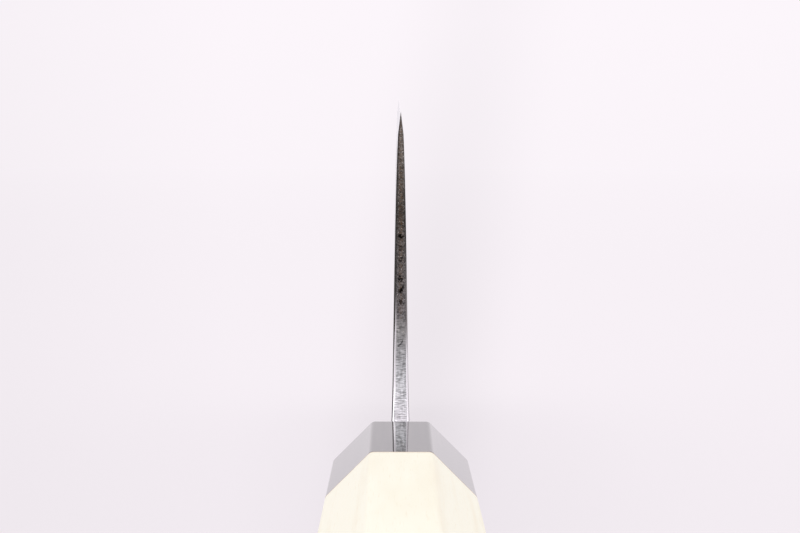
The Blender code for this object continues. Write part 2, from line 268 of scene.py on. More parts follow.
# The band of painted shade fans out from this fixed point, which lies below the place that the
# photograph was taken from, and the painted light falls off towards it. Slopes count from
# FAN_HEIGHT above the point.
FAN_POINT = (-0.0011, -0.3668, 0.0)
FAN_HEIGHT = 0.0703
FAN_NEAREST = 0.05

paper_floor = bpy.data.materials.new("paper_floor")
paper_floor.use_nodes = True
tree = paper_floor.node_tree
tree.nodes.clear()
place = add(tree, "ShaderNodeTexCoord")
distance = add(tree, "ShaderNodeVectorMath", {0: place.outputs["Object"]}, operation="LENGTH")
nearness = {0: distance.outputs["Value"], 1: FADE_START, 2: FADE_END, 3: SHADOW_SHARE, 4: 0.0}
nearness = add(tree, "ShaderNodeMapRange", nearness)
rays = add(tree, "ShaderNodeLightPath")
seen = {0: rays.outputs["Is Camera Ray"], 1: rays.outputs["Is Glossy Ray"]}
seen = add(tree, "ShaderNodeMath", seen, operation="MAXIMUM")
seen = {0: seen.outputs[0], 1: rays.outputs["Is Transmission Ray"]}
seen = add(tree, "ShaderNodeMath", seen, operation="MAXIMUM")
fibre = {"Vector": place.outputs["Object"], "Scale": 1 / FIBRE_SIZE, "Detail": 2.0}
fibre = add(tree, "ShaderNodeTexNoise", fibre)
tone = {0: fibre.outputs["Fac"], 6: linear(DULL_PAPER), 7: linear(CLEAR_PAPER)}
tone = add(tree, "ShaderNodeMix", tone, data_type="RGBA")
from_fan = {0: place.outputs["Object"], 1: FAN_POINT}
from_fan = add(tree, "ShaderNodeVectorMath", from_fan, operation="SUBTRACT")
axes = add(tree, "ShaderNodeSeparateXYZ", {0: from_fan.outputs[0]})
ahead = add(tree, "ShaderNodeMath", {0: axes.outputs["Y"], 1: FAN_NEAREST}, operation="MAXIMUM")
across = add(tree, "ShaderNodeMath", {0: axes.outputs["X"], 1: ahead.outputs[0]}, operation="DIVIDE")
down = add(tree, "ShaderNodeMath", {0: FAN_HEIGHT, 1: ahead.outputs[0]}, operation="DIVIDE")
# The floor's painted light, the same as the background's, with its band of painted shade.
light_there = paper_light(tree, across.outputs[0], down.outputs[0])
tone = {0: 1.0, 6: tone.outputs[2], 7: light_there}
tone = add(tree, "ShaderNodeMix", tone, data_type="RGBA", blend_type="MULTIPLY")
lit = add(tree, "ShaderNodeBsdfDiffuse", {0: tone.outputs[2]})
light_seen = add(tree, "ShaderNodeMix", {0: rays.outputs["Is Camera Ray"], 2: LOW_GLOW, 3: light_there})
glow = add(tree, "ShaderNodeEmission", {0: linear(PAPER), 1: light_seen.outputs[0]})
shaded = add(tree, "ShaderNodeMixShader", {0: nearness.outputs[0], 1: glow.outputs[0], 2: lit.outputs[0]})
either = add(tree, "ShaderNodeMixShader", {0: seen.outputs[0], 1: lit.outputs[0], 2: shaded.outputs[0]})
add(tree, "ShaderNodeOutputMaterial", {0: either.outputs[0]})
print("paper floor:", len(tree.nodes), "nodes")

# %% Floor
FLOOR_HALF = 6.0

floor_mesh = bpy.data.meshes.new("floor")
corners = [(x * FLOOR_HALF, y * FLOOR_HALF, 0) for x, y in ((-1, -1), (1, -1), (1, 1), (-1, 1))]
floor_mesh.from_pydata(corners, [], [(0, 1, 2, 3)])
floor_mesh.materials.append(paper_floor)
floor = bpy.data.objects.new("floor", floor_mesh)
bpy.context.scene.collection.objects.link(floor)
print("floor", 2 * FLOOR_HALF, "m wide")

# %% [markdown]
# ## Steel with two finishes
#
# A laminated blade is soft steel on both sides of a hard core. The sides are ground on a wet wheel
# and rubbed with stones, which leaves fine lines along the blade. The rim, which is the spine, the
# neck, the choil and the heel, gets another finish. The smith has ground the choil clean, with
# short strokes across it, and the heel above keeps its dark, pitted skin from the forge. The rim's
# colours carry painted light and shade as well as these finishes. Up the rim they are set by height:
# the choil is painted brighter where it turns up to the light, and the neck below it darker. The
# pits in the skin are painted dark as shade, the brightest strokes and chips are painted glints, and
# the eased corners get a painted highlight beside a dark line of scale and painted shade. All layers
# look alike at the rim, so that one function makes both steels. It tells the rim from the sides by
# attributes of the mesh: the distance from the rim, half the width of the rim, and the distance
# from the cutting edge. Painted images could hold such finishes too. Stretched noise and ramps were
# chosen, because they are written in millimetres and stay sharp however near the camera comes.

# %% Finishes of the rim
# The ends of the colour ramps that run up the rim, in millimetres over the handle's axis.
LOWEST = 5.0
HIGHEST = 51.0
# The rim's finishes from the neck up, each with its height over the handle's axis in millimetres. The
# colours hold painted light and shade too: the choil is painted brighter where it turns up to the
# light, and the neck below it darker.
BRUSHED_NECK_SHADE = (10, "a8a6aa")
GROUND_CHOIL_LIGHT = (15, "c2c4c6")
CHOIL_END = (20.5, "a8a8a8")
LOW_SKIN = (23, "797677")
SKIN = (28, "6e6b6a")
DARK_SKIN = (37, "56534f")
BROWN_SKIN = (48, "807c78")
RIM_FINISHES_AND_SHADE = [BRUSHED_NECK_SHADE, GROUND_CHOIL_LIGHT, CHOIL_END, LOW_SKIN, SKIN, DARK_SKIN, BROWN_SKIN]
# Pits in the weld: height over the axis, reach up and down, and darkness of their painted shade.
PITS = [
    (19.0, 0.35, 0.5),
    (21.3, 0.3, 0.4),
    (24.6, 0.6, 0.45),
    (26.2, 0.4, 0.7),
    (27.8, 0.5, 1.0),
    (30.1, 0.35, 0.5),
    (31.9, 0.4, 0.5),
    (33.4, 0.5, 1.0),
    (36.8, 2.2, 0.24),
]
# The part of a noise's range that is spread over a whole scale, and a tighter one for more contrast.
NOISE_LOW = 0.3
NOISE_HIGH = 0.7
TIGHT_LOW = 0.33
TIGHT_HIGH = 0.67


def height_share(z):
    """A height over the axis in millimetres, as a place on the ramps from LOWEST to HIGHEST."""
    return (z - LOWEST) / (HIGHEST - LOWEST)


def set_stops(ramp, stops):
    """Gives a colour ramp these stops, each a position and a colour."""
    for number, (position, colour) in enumerate(stops):
        stop = ramp.elements[number] if number < 2 else ramp.elements.new(position)
        stop.position = position
        stop.color = colour


def grain(tree, coords, cell, detail=2.0):
    """Noise with cells of the given sizes along x, y and z, in millimetres."""
    scale = [1 / (side * MM) for side in cell]
    scaled = add(tree, "ShaderNodeMapping", {"Vector": coords.outputs["Object"], "Scale": scale})
    noise = {"Vector": scaled.outputs[0], "Scale": 1.0, "Detail": detail}
    return add(tree, "ShaderNodeTexNoise", noise).outputs["Fac"]


print(len(RIM_FINISHES_AND_SHADE), "finishes of the rim and", len(PITS), "pits")

# %% Ground sides
# Cells in millimetres along x, y and z: fine lines along the blade, and slow clouds.
LINE_CELL = (2, 15, 0.12)
CLOUD_CELL = (20, 40, 7)
CLOUD_SHARE = 0.3
DARKEST_AT = 0.42
BRIGHTEST_AT = 0.88
GLOSS_SPREAD = 0.07
HONED = "f0f1f3"
HONED_ROUGHNESS = 0.12
HONED_UNTIL = 0.7 * MM
HONED_FULLY_SHARE = 0.7


def ground_side(tree, coords, side_colour, line_colour, roughness):
    """Lines along the blade on slow clouds, and a finer polish at the cutting edge.

    The lines are 0.12 mm apart and 15 mm long: coarser than the real ones, so that they show.
    """
    hairs = grain(tree, coords, LINE_CELL, 3.0)
    clouds = grain(tree, coords, CLOUD_CELL)
    share = add(tree, "ShaderNodeMath", {0: clouds, 1: CLOUD_SHARE, 2: hairs}, operation="MULTIPLY_ADD")
    share = add(tree, "ShaderNodeMapRange", {0: share.outputs[0], 1: DARKEST_AT, 2: BRIGHTEST_AT}).outputs[0]
    tone = {0: share, 6: linear(line_colour), 7: linear(side_colour)}
    tone = add(tree, "ShaderNodeMix", tone, data_type="RGBA")
    gloss = {0: share, 3: roughness + GLOSS_SPREAD, 4: roughness - GLOSS_SPREAD}
    gloss = add(tree, "ShaderNodeMapRange", gloss)
    from_edge = add(tree, "ShaderNodeAttribute", attribute_name="from_edge").outputs["Fac"]
    honed = {0: from_edge, 1: HONED_FULLY_SHARE * HONED_UNTIL, 2: HONED_UNTIL, 3: 1.0, 4: 0.0}
    honed = add(tree, "ShaderNodeMapRange", honed).outputs[0]
    tone = add(tree, "ShaderNodeMix", {0: honed, 6: tone.outputs[2], 7: linear(HONED)}, data_type="RGBA")
    gloss = add(tree, "ShaderNodeMix", {0: honed, 2: gloss.outputs[0], 3: HONED_ROUGHNESS})
    return tone.outputs[2], gloss.outputs[0], hairs


print("lines on the sides every", LINE_CELL[2], "mm")

# %% Pits in the weld
PIT_SHADE = "12100e"
# How far the mottle moves a pit, up and down as a share of the ramp, and sideways.
PIT_SHIFT_UP = 0.05
PIT_SHIFT_ASIDE = 1.2 * MM
PIT_HALF_WIDTH = 0.14 * MM
PIT_LIMIT = 0.45 * MM
PIT_FAINTEST = 0.12
PIT_DARKEST = 0.45


def weld_pits(tree, height, across, mottle):
    """1 in the pits, which lie near the middle line of the heel and wander a little. They are painted
    dark, as painted shade in hollows that the mesh doesn't have.
    """
    line = add(tree, "ShaderNodeMath", {0: mottle, 1: PIT_SHIFT_UP, 2: height}, operation="MULTIPLY_ADD")
    line = add(tree, "ShaderNodeMath", {0: line.outputs[0], 1: -PIT_SHIFT_UP / 2}, operation="ADD")
    rows = add(tree, "ShaderNodeValToRGB", {0: line.outputs[0]})
    stops = [(0.0, (0, 0, 0, 1))]
    for z, reach, depth in PITS:
        stops.append((height_share(z - reach), (0, 0, 0, 1)))
        stops.append((height_share(z), (depth, depth, depth, 1)))
        stops.append((height_share(z + reach), (0, 0, 0, 1)))
    set_stops(rows.color_ramp, stops)
    aside = add(tree, "ShaderNodeMath", {0: mottle, 1: -0.5}, operation="ADD")
    aside = {0: aside.outputs[0], 1: PIT_SHIFT_ASIDE, 2: across}
    aside = add(tree, "ShaderNodeMath", aside, operation="MULTIPLY_ADD")
    aside = add(tree, "ShaderNodeMath", {0: aside.outputs[0]}, operation="ABSOLUTE")
    middle = {0: aside.outputs[0], 1: PIT_HALF_WIDTH, 2: PIT_LIMIT, 3: 1.0, 4: 0.0}
    middle = add(tree, "ShaderNodeMapRange", middle)
    pitted = {0: middle.outputs[0], 1: rows.outputs["Color"]}
    pitted = add(tree, "ShaderNodeMath", pitted, operation="MULTIPLY")
    return add(tree, "ShaderNodeMapRange", {0: pitted.outputs[0], 1: PIT_FAINTEST, 2: PIT_DARKEST}).outputs[0]


print("pits", round(2 * PIT_HALF_WIDTH / MM, 2), "mm wide")

# %% Strokes of the choil and specks of the skin
# Cells in millimetres: strokes across the choil and ripples down it, specks of scale, and patches.
STROKE_CELL = (0.7, 0.12, 0.12)
RIPPLE_CELL = (0.16, 1.2, 1.2)
SPECK_CELL = (0.15, 0.15, 0.15)
PATCH_CELL = (0.5, 0.5, 0.5)
# How bright they make the steel, as factors of its tone: the darkest and the brightest. The brightest
# strokes across the choil are painted glints.
STROKE_LIGHT = (0.45, 1.5)
RIPPLE_LIGHT = (0.8, 1.2)
SPECK_LIGHT = (0.25, 1.75)
PATCH_LIGHT = (0.7, 1.3)


def choil_strokes(tree, coords):
    """How bright each place of the ground choil is, and its relief."""
    strokes = grain(tree, coords, STROKE_CELL)
    ripples = grain(tree, coords, RIPPLE_CELL)
    bright = {0: strokes, 1: TIGHT_LOW, 2: TIGHT_HIGH, 3: STROKE_LIGHT[0], 4: STROKE_LIGHT[1]}
    bright = add(tree, "ShaderNodeMapRange", bright)
    slower = {0: ripples, 1: NOISE_LOW, 2: NOISE_HIGH, 3: RIPPLE_LIGHT[0], 4: RIPPLE_LIGHT[1]}
    slower = add(tree, "ShaderNodeMapRange", slower)
    light = {0: bright.outputs[0], 1: slower.outputs[0]}
    return add(tree, "ShaderNodeMath", light, operation="MULTIPLY").outputs[0], strokes


def skin_specks(tree, coords, mottle):
    """How bright each place of the forge skin is, and its relief."""
    specks = grain(tree, coords, SPECK_CELL)
    bright = {0: specks, 1: TIGHT_LOW, 2: TIGHT_HIGH, 3: SPECK_LIGHT[0], 4: SPECK_LIGHT[1]}
    bright = add(tree, "ShaderNodeMapRange", bright)
    slower = {0: mottle, 1: NOISE_LOW, 2: NOISE_HIGH, 3: PATCH_LIGHT[0], 4: PATCH_LIGHT[1]}
    slower = add(tree, "ShaderNodeMapRange", slower)
    light = {0: bright.outputs[0], 1: slower.outputs[0]}
    return add(tree, "ShaderNodeMath", light, operation="MULTIPLY").outputs[0], specks


print("strokes every", STROKE_CELL[2], "mm, specks of", SPECK_CELL[0], "mm")

# %% Rust, chips and painted glints
RUST = "6e5130"
RUST_SHARE = 0.5
RUST_CELL = (0.25, 0.25, 0.25)
RUST_FULL = 0.15 * MM
RUST_LIMIT = 0.45 * MM
# Where in their noise rust and the chips with their painted glints start, and where they cover all.
RUST_NOISE = (0.42, 0.62)
CHIP_GLINT = "d8d2cc"
CHIP_CELL = (0.13, 0.13, 0.13)
CHIP_NOISE = (0.76, 0.82)


def rust_and_chip_glints(tree, coords, axes, tone, clean):
    """Rust in spots near the middle of the skin, and bright specks of bare steel where it has chipped, each a
    painted glint.
    """
    aside = add(tree, "ShaderNodeMath", {0: axes.outputs["X"]}, operation="ABSOLUTE")
    most = {0: aside.outputs[0], 1: RUST_FULL, 2: RUST_LIMIT, 3: RUST_SHARE, 4: 0.0}
    most = add(tree, "ShaderNodeMapRange", most)
    spots = grain(tree, coords, RUST_CELL)
    spots = {0: spots, 1: RUST_NOISE[0], 2: RUST_NOISE[1], 3: 0.0, 4: most.outputs[0]}
    spots = add(tree, "ShaderNodeMapRange", spots)
    rust = add(tree, "ShaderNodeMath", {0: spots.outputs[0], 1: clean}, operation="SUBTRACT", use_clamp=True)
    tone = add(tree, "ShaderNodeMix", {0: rust.outputs[0], 6: tone, 7: linear(RUST)}, data_type="RGBA")
    # The chips are bare steel, painted bright as glints.
    chip_glints = grain(tree, coords, CHIP_CELL, 0.0)
    chip_glints = add(tree, "ShaderNodeMapRange", {0: chip_glints, 1: CHIP_NOISE[0], 2: CHIP_NOISE[1]})
    tone = {0: chip_glints.outputs[0], 6: tone.outputs[2], 7: linear(CHIP_GLINT)}
    return add(tree, "ShaderNodeMix", tone, data_type="RGBA").outputs[2]


print("rust spots of", RUST_CELL[0], "mm")

# %% Rim
CLEAN_BELOW = AXIS_Z + 22 * MM
SKIN_ABOVE = AXIS_Z + 23 * MM
PATCH_SHIFT = 6 * MM
HEEL_LIMIT_Y = DATUM_Y + 19 * MM
SKIN_ROUGHNESS = 0.55
CHOIL_ROUGHNESS = 0.40


def rim_finish_and_shade(tree, coords, axes):
    """The rim's colour, roughness and relief: forge skin on the heel, and a clean choil. Its colour
    also holds painted light and shade, set by the height.

    The patches make the border between the two ragged.
    """
    height = {0: axes.outputs["Z"], 1: AXIS_Z + LOWEST * MM, 2: AXIS_Z + HIGHEST * MM}
    height = add(tree, "ShaderNodeMapRange", height)
    # The ramp by height holds the finishes, and painted light and shade as well.
    tone = add(tree, "ShaderNodeValToRGB", {0: height.outputs[0]})
    set_stops(tone.color_ramp, [(height_share(z), linear(colour)) for z, colour in RIM_FINISHES_AND_SHADE])
    mottle = grain(tree, coords, PATCH_CELL, 3.0)
    ragged = {0: mottle, 1: PATCH_SHIFT, 2: axes.outputs["Z"]}
    ragged = add(tree, "ShaderNodeMath", ragged, operation="MULTIPLY_ADD")
    shift = PATCH_SHIFT / 2
    rubbed = {0: ragged.outputs[0], 1: CLEAN_BELOW + shift, 2: SKIN_ABOVE + shift, 3: 1.0, 4: 0.0}
    rubbed = add(tree, "ShaderNodeMapRange", rubbed)
    past_heel = add(tree, "ShaderNodeMath", {0: axes.outputs["Y"], 1: HEEL_LIMIT_Y}, operation="GREATER_THAN")
    clean = {0: rubbed.outputs[0], 1: past_heel.outputs[0]}
    clean = add(tree, "ShaderNodeMath", clean, operation="MAXIMUM").outputs[0]

    choil_light, strokes = choil_strokes(tree, coords)
    skin_light, specks = skin_specks(tree, coords, mottle)
    light = add(tree, "ShaderNodeMix", {0: clean, 2: skin_light, 3: choil_light})
    tone = {0: 1.0, 6: tone.outputs["Color"], 7: light.outputs[0]}
    tone = add(tree, "ShaderNodeMix", tone, data_type="RGBA", blend_type="MULTIPLY")
    tone = rust_and_chip_glints(tree, coords, axes, tone.outputs[2], clean)
    pits = weld_pits(tree, height.outputs[0], axes.outputs["X"], mottle)
    # The pits are painted dark: painted shade in hollows that the mesh doesn't cut.
    tone = add(tree, "ShaderNodeMix", {0: pits, 6: tone, 7: linear(PIT_SHADE)}, data_type="RGBA")
    gloss = add(tree, "ShaderNodeMapRange", {0: clean, 3: SKIN_ROUGHNESS, 4: CHOIL_ROUGHNESS})
    relief = add(tree, "ShaderNodeMix", {0: clean, 2: specks, 3: strokes})
    return tone.outputs[2], gloss.outputs[0], relief.outputs[0]


print("the choil is ground clean up to", round((CLEAN_BELOW - AXIS_Z) / MM, 1), "mm over the axis")

# %% Borders of the rim
SCALE_AND_SHADE = "2e2b28"
POLISHED_HIGHLIGHT = "f8f6f9"
BORDER_CLEAN_BELOW = AXIS_Z + 21 * MM
BORDER_SKIN_ABOVE = AXIS_Z + 26 * MM
BORDER_LEAN = 4 * MM
BORDER_LEFT = 0.23 * MM
BORDER_RIGHT = 0.13 * MM
DARKNESS_LEFT = 0.85
DARKNESS_RIGHT = 0.35
HIGHLIGHT_BELOW = AXIS_Z + 11 * MM
HIGHLIGHT_ABOVE = AXIS_Z + 13 * MM
HIGHLIGHT_RIGHT = 0.05


def rim_borders(tree, axes, rim_half, rim_tone, on_right):
    """The skin darkens towards its two borders, with scale and painted shade, and the choil is polished
    at its left one, where it also gets a painted highlight.

    The skin reaches further down on the right.
    """
    leant = {0: on_right, 1: BORDER_LEAN, 2: axes.outputs["Z"]}
    leant = add(tree, "ShaderNodeMath", leant, operation="MULTIPLY_ADD")
    clean = {0: leant.outputs[0], 1: BORDER_CLEAN_BELOW, 2: BORDER_SKIN_ABOVE, 3: 1.0, 4: 0.0}
    clean = add(tree, "ShaderNodeMapRange", clean).outputs[0]
    aside = add(tree, "ShaderNodeMath", {0: axes.outputs["X"]}, operation="ABSOLUTE")
    inside = add(tree, "ShaderNodeMath", {0: rim_half, 1: aside.outputs[0]}, operation="SUBTRACT")
    width = add(tree, "ShaderNodeMix", {0: on_right, 2: BORDER_LEFT, 3: BORDER_RIGHT})
    highlight = {0: axes.outputs["Z"], 1: HIGHLIGHT_BELOW, 2: HIGHLIGHT_ABOVE, 3: 0.0, 4: 1.0}
    highlight = add(tree, "ShaderNodeMapRange", highlight)
    highlight = add(tree, "ShaderNodeMix", {0: on_right, 2: highlight.outputs[0], 3: HIGHLIGHT_RIGHT})
    darkness = add(tree, "ShaderNodeMix", {0: on_right, 2: DARKNESS_LEFT, 3: DARKNESS_RIGHT})
    strength = add(tree, "ShaderNodeMix", {0: clean, 2: darkness.outputs[0], 3: highlight.outputs[0]})
    border = {0: inside.outputs[0], 1: 0.0, 2: width.outputs[0], 3: strength.outputs[0], 4: 0.0}
    border = add(tree, "ShaderNodeMapRange", border)
    # Dark scale with painted shade at the skin's borders, and a painted highlight at the choil's.
    border_tone = {0: clean, 6: linear(SCALE_AND_SHADE), 7: linear(POLISHED_HIGHLIGHT)}
    border_tone = add(tree, "ShaderNodeMix", border_tone, data_type="RGBA")
    tone = {0: border.outputs[0], 6: rim_tone, 7: border_tone.outputs[2]}
    return add(tree, "ShaderNodeMix", tone, data_type="RGBA").outputs[2], clean


print("borders", round(BORDER_LEFT / MM, 2), "and", round(BORDER_RIGHT / MM, 2), "mm wide")

# %% Corners of the rim
CORNER_START = 0.004 * MM
CORNER_END = 0.24 * MM
SCALE_START_LEFT = 0.045 * MM
SCALE_START_RIGHT = 0.12 * MM
SCALE_NARROWS_BELOW = AXIS_Z + 22.5 * MM
SCALE_NARROW_BELOW = AXIS_Z + 16 * MM
WORN_SCALE = "858080"
WORN_BELOW = AXIS_Z + 26 * MM
UNWORN_ABOVE = AXIS_Z + 33 * MM
SCALE_ROUGHNESS = 0.7
POLISHED_ROUGHNESS = 0.15


def rim_corners(tree, axes, from_rim, on_right, clean):
    """The eased corners: polished on the choil with a painted highlight, a dark line of scale and painted
    shade beside them, and dark on the skin.

    Low on the right the scale is worn and grey.
    """
    z = axes.outputs["Z"]
    start = {0: z, 1: SCALE_NARROW_BELOW, 2: SCALE_NARROWS_BELOW, 3: SCALE_START_LEFT, 4: 0.0}
    start = add(tree, "ShaderNodeMapRange", start)
    start = add(tree, "ShaderNodeMix", {0: on_right, 2: start.outputs[0], 3: SCALE_START_RIGHT})
    # A dark line of scale and painted shade beside the polish, which carries a painted highlight.
    scale = add(tree, "ShaderNodeMath", {0: from_rim, 1: start.outputs[0]}, operation="GREATER_THAN")
    polished = {0: clean, 1: scale.outputs[0]}
    polished = add(tree, "ShaderNodeMath", polished, operation="SUBTRACT", use_clamp=True).outputs[0]
    worn = add(tree, "ShaderNodeMapRange", {0: z, 1: WORN_BELOW, 2: UNWORN_ABOVE, 3: 1.0, 4: 0.0})
    worn = add(tree, "ShaderNodeMath", {0: worn.outputs[0], 1: clean}, operation="SUBTRACT", use_clamp=True)
    worn = add(tree, "ShaderNodeMath", {0: worn.outputs[0], 1: on_right}, operation="MULTIPLY")
    tone = {0: worn.outputs[0], 6: linear(SCALE_AND_SHADE), 7: linear(WORN_SCALE)}
    tone = add(tree, "ShaderNodeMix", tone, data_type="RGBA")
    tone = {0: polished, 6: tone.outputs[2], 7: linear(POLISHED_HIGHLIGHT)}
    tone = add(tree, "ShaderNodeMix", tone, data_type="RGBA")
    gloss = add(tree, "ShaderNodeMapRange", {0: polished, 3: SCALE_ROUGHNESS, 4: POLISHED_ROUGHNESS})
    return tone.outputs[2], gloss.outputs[0], polished


print("corners", round(CORNER_END / MM, 2), "mm wide")

# %% Steel
SIDE_RELIEF = 0.015 * MM
RELIEF_STRENGTH = 0.5
# How many times the corner's width the sides' finish needs to take over.
SIDE_TAKES_OVER = 1.2


def make_steel(name, side_colour, line_colour, side_roughness):
    """Ground steel, which reads the attributes from_rim, from_edge and rim_half, all in metres."""
    material = bpy.data.materials.new(name)
    material.use_nodes = True
    tree = material.node_tree
    shader = tree.nodes["Principled BSDF"]
    coords = add(tree, "ShaderNodeTexCoord")
    axes = add(tree, "ShaderNodeSeparateXYZ", {0: coords.outputs["Object"]})
    from_rim = add(tree, "ShaderNodeAttribute", attribute_name="from_rim").outputs["Fac"]
    rim_half = add(tree, "ShaderNodeAttribute", attribute_name="rim_half").outputs["Fac"]

    side = ground_side(tree, coords, side_colour, line_colour, side_roughness)
    side_tone, side_gloss, side_relief = side
    rim_tone, rim_gloss, rim_relief = rim_finish_and_shade(tree, coords, axes)
    on_right = {0: axes.outputs["X"], 1: 0.0}
    on_right = add(tree, "ShaderNodeMath", on_right, operation="GREATER_THAN").outputs[0]
    rim_tone, clean = rim_borders(tree, axes, rim_half, rim_tone, on_right)
    corner_tone, corner_gloss, polished = rim_corners(tree, axes, from_rim, on_right, clean)

    on_corner = {0: from_rim, 1: CORNER_START, 2: 2 * CORNER_START}
    on_corner = add(tree, "ShaderNodeMapRange", on_corner).outputs[0]
    on_side = {0: from_rim, 1: CORNER_END, 2: SIDE_TAKES_OVER * CORNER_END}
    on_side = add(tree, "ShaderNodeMapRange", on_side).outputs[0]
    tone = add(tree, "ShaderNodeMix", {0: on_corner, 6: rim_tone, 7: corner_tone}, data_type="RGBA")
    tone = add(tree, "ShaderNodeMix", {0: on_side, 6: tone.outputs[2], 7: side_tone}, data_type="RGBA")
    tree.links.new(tone.outputs[2], shader.inputs["Base Color"])
    gloss = add(tree, "ShaderNodeMix", {0: on_corner, 2: rim_gloss, 3: corner_gloss})
    gloss = add(tree, "ShaderNodeMix", {0: on_side, 2: gloss.outputs[0], 3: side_gloss})
    tree.links.new(gloss.outputs[0], shader.inputs["Roughness"])
    # Scale is an oxide, so it isn't metallic: that keeps the corners dark where they turn away.
    metallic = add(tree, "ShaderNodeMix", {0: on_corner, 2: 1.0, 3: polished})
    metallic = add(tree, "ShaderNodeMix", {0: on_side, 2: metallic.outputs[0], 3: 1.0})
    tree.links.new(metallic.outputs[0], shader.inputs["Metallic"])
    relief = add(tree, "ShaderNodeMix", {0: on_corner, 2: rim_relief, 3: side_relief})
    bump = {"Height": relief.outputs[0], "Distance": SIDE_RELIEF, "Strength": RELIEF_STRENGTH}
    bump = add(tree, "ShaderNodeBump", bump)
    tree.links.new(bump.outputs[0], shader.inputs["Normal"])
    return material


core_steel = make_steel("stone_polished_core_steel", "dadce0", "bfc2c7", 0.20)
soft_steel = make_steel("ground_soft_steel", "cbcbcd", "a19fa3", 0.27)
print(len(core_steel.node_tree.nodes), "nodes in each steel")

# %% [markdown]
# ## Horn, wood and resin
#
# The ferrule is water buffalo horn, sawn, shaped and buffed. It is nearly black, and its buffed
# facets mirror what lies beyond them when they are seen at a low angle, so it can look pale grey.
# The handle is magnolia, which is light, pale and even. Its growth rings hardly show, and its
# pores are short fine lines. The dowel in the handle is of a browner wood, and dark resin seals
# the slot where the blade goes in. Images of horn and wood would have to be wrapped round eight
# facets. Noise that fills space needs no wrapping, so a layer runs on over a ridge, as it does in
# solid wood.

# %% Horn
# Cells in millimetres: layers that run along the handle.
HORN_CELL = (0.8, 20, 0.8)
HORN_IOR = 1.56
BLACK_HORN = "171618"
PALE_HORN = "3a3634"
# Where in the layers' noise horn gets paler, and where it is palest.
PALE_NOISE = (0.4, 0.75)
GLOSSIEST_HORN = 0.015
DULLEST_HORN = 0.035
BUFFING_SIZE = 4 * MM
BUFFING_DEPTH = 0.01 * MM
BUFFING_STRENGTH = 0.3


def make_horn():
    """Buffed black horn: fine layers along the handle, a little lighter and duller in places."""
    material = bpy.data.materials.new("buffed_black_horn")
    material.use_nodes = True
    tree = material.node_tree
    shader = tree.nodes["Principled BSDF"]
    shader.inputs["IOR"].default_value = HORN_IOR
    coords = add(tree, "ShaderNodeTexCoord")
    streaks = grain(tree, coords, HORN_CELL, 5.0)
    pale = add(tree, "ShaderNodeMapRange", {0: streaks, 1: PALE_NOISE[0], 2: PALE_NOISE[1]})
    tone = {0: pale.outputs[0], 6: linear(BLACK_HORN), 7: linear(PALE_HORN)}
    tone = add(tree, "ShaderNodeMix", tone, data_type="RGBA")
    tree.links.new(tone.outputs[2], shader.inputs["Base Color"])
    gloss = {0: streaks, 1: NOISE_LOW, 2: NOISE_HIGH, 3: GLOSSIEST_HORN, 4: DULLEST_HORN}
    gloss = add(tree, "ShaderNodeMapRange", gloss)
    tree.links.new(gloss.outputs[0], shader.inputs["Roughness"])
    buffing = {"Vector": coords.outputs["Object"], "Scale": 1 / BUFFING_SIZE, "Detail": 1.0}
    buffing = add(tree, "ShaderNodeTexNoise", buffing)
    bump = {"Height": buffing.outputs["Fac"], "Distance": BUFFING_DEPTH, "Strength": BUFFING_STRENGTH}
    bump = add(tree, "ShaderNodeBump", bump)
    tree.links.new(bump.outputs[0], shader.inputs["Normal"])
    return material


horn = make_horn()
print(horn.name, len(horn.node_tree.nodes), "nodes")

# %% Wood
# Cells in millimetres: growth layers, which lie flat in the handle, and pores.
RING_CELL = (9, 90, 1.6)
PORE_CELL = (0.12, 5, 0.12)
# Where in their noise late wood and pores start, and where they are full.
LATE_NOISE = (0.5, 0.7)
PORE_NOISE = (0.62, 0.75)
PORE_DEPTH = 0.015 * MM
PORE_STRENGTH = 0.4
WOOD_IOR = 1.5
SMOOTHER_FIBRES = 0.05
ROUGHER_PORES = 0.08
STAIN = "c9a07c"
STAIN_SHARE = 0.5
STAIN_REACH = 1.0 * MM
STAIN_FULL = 0.2 * MM


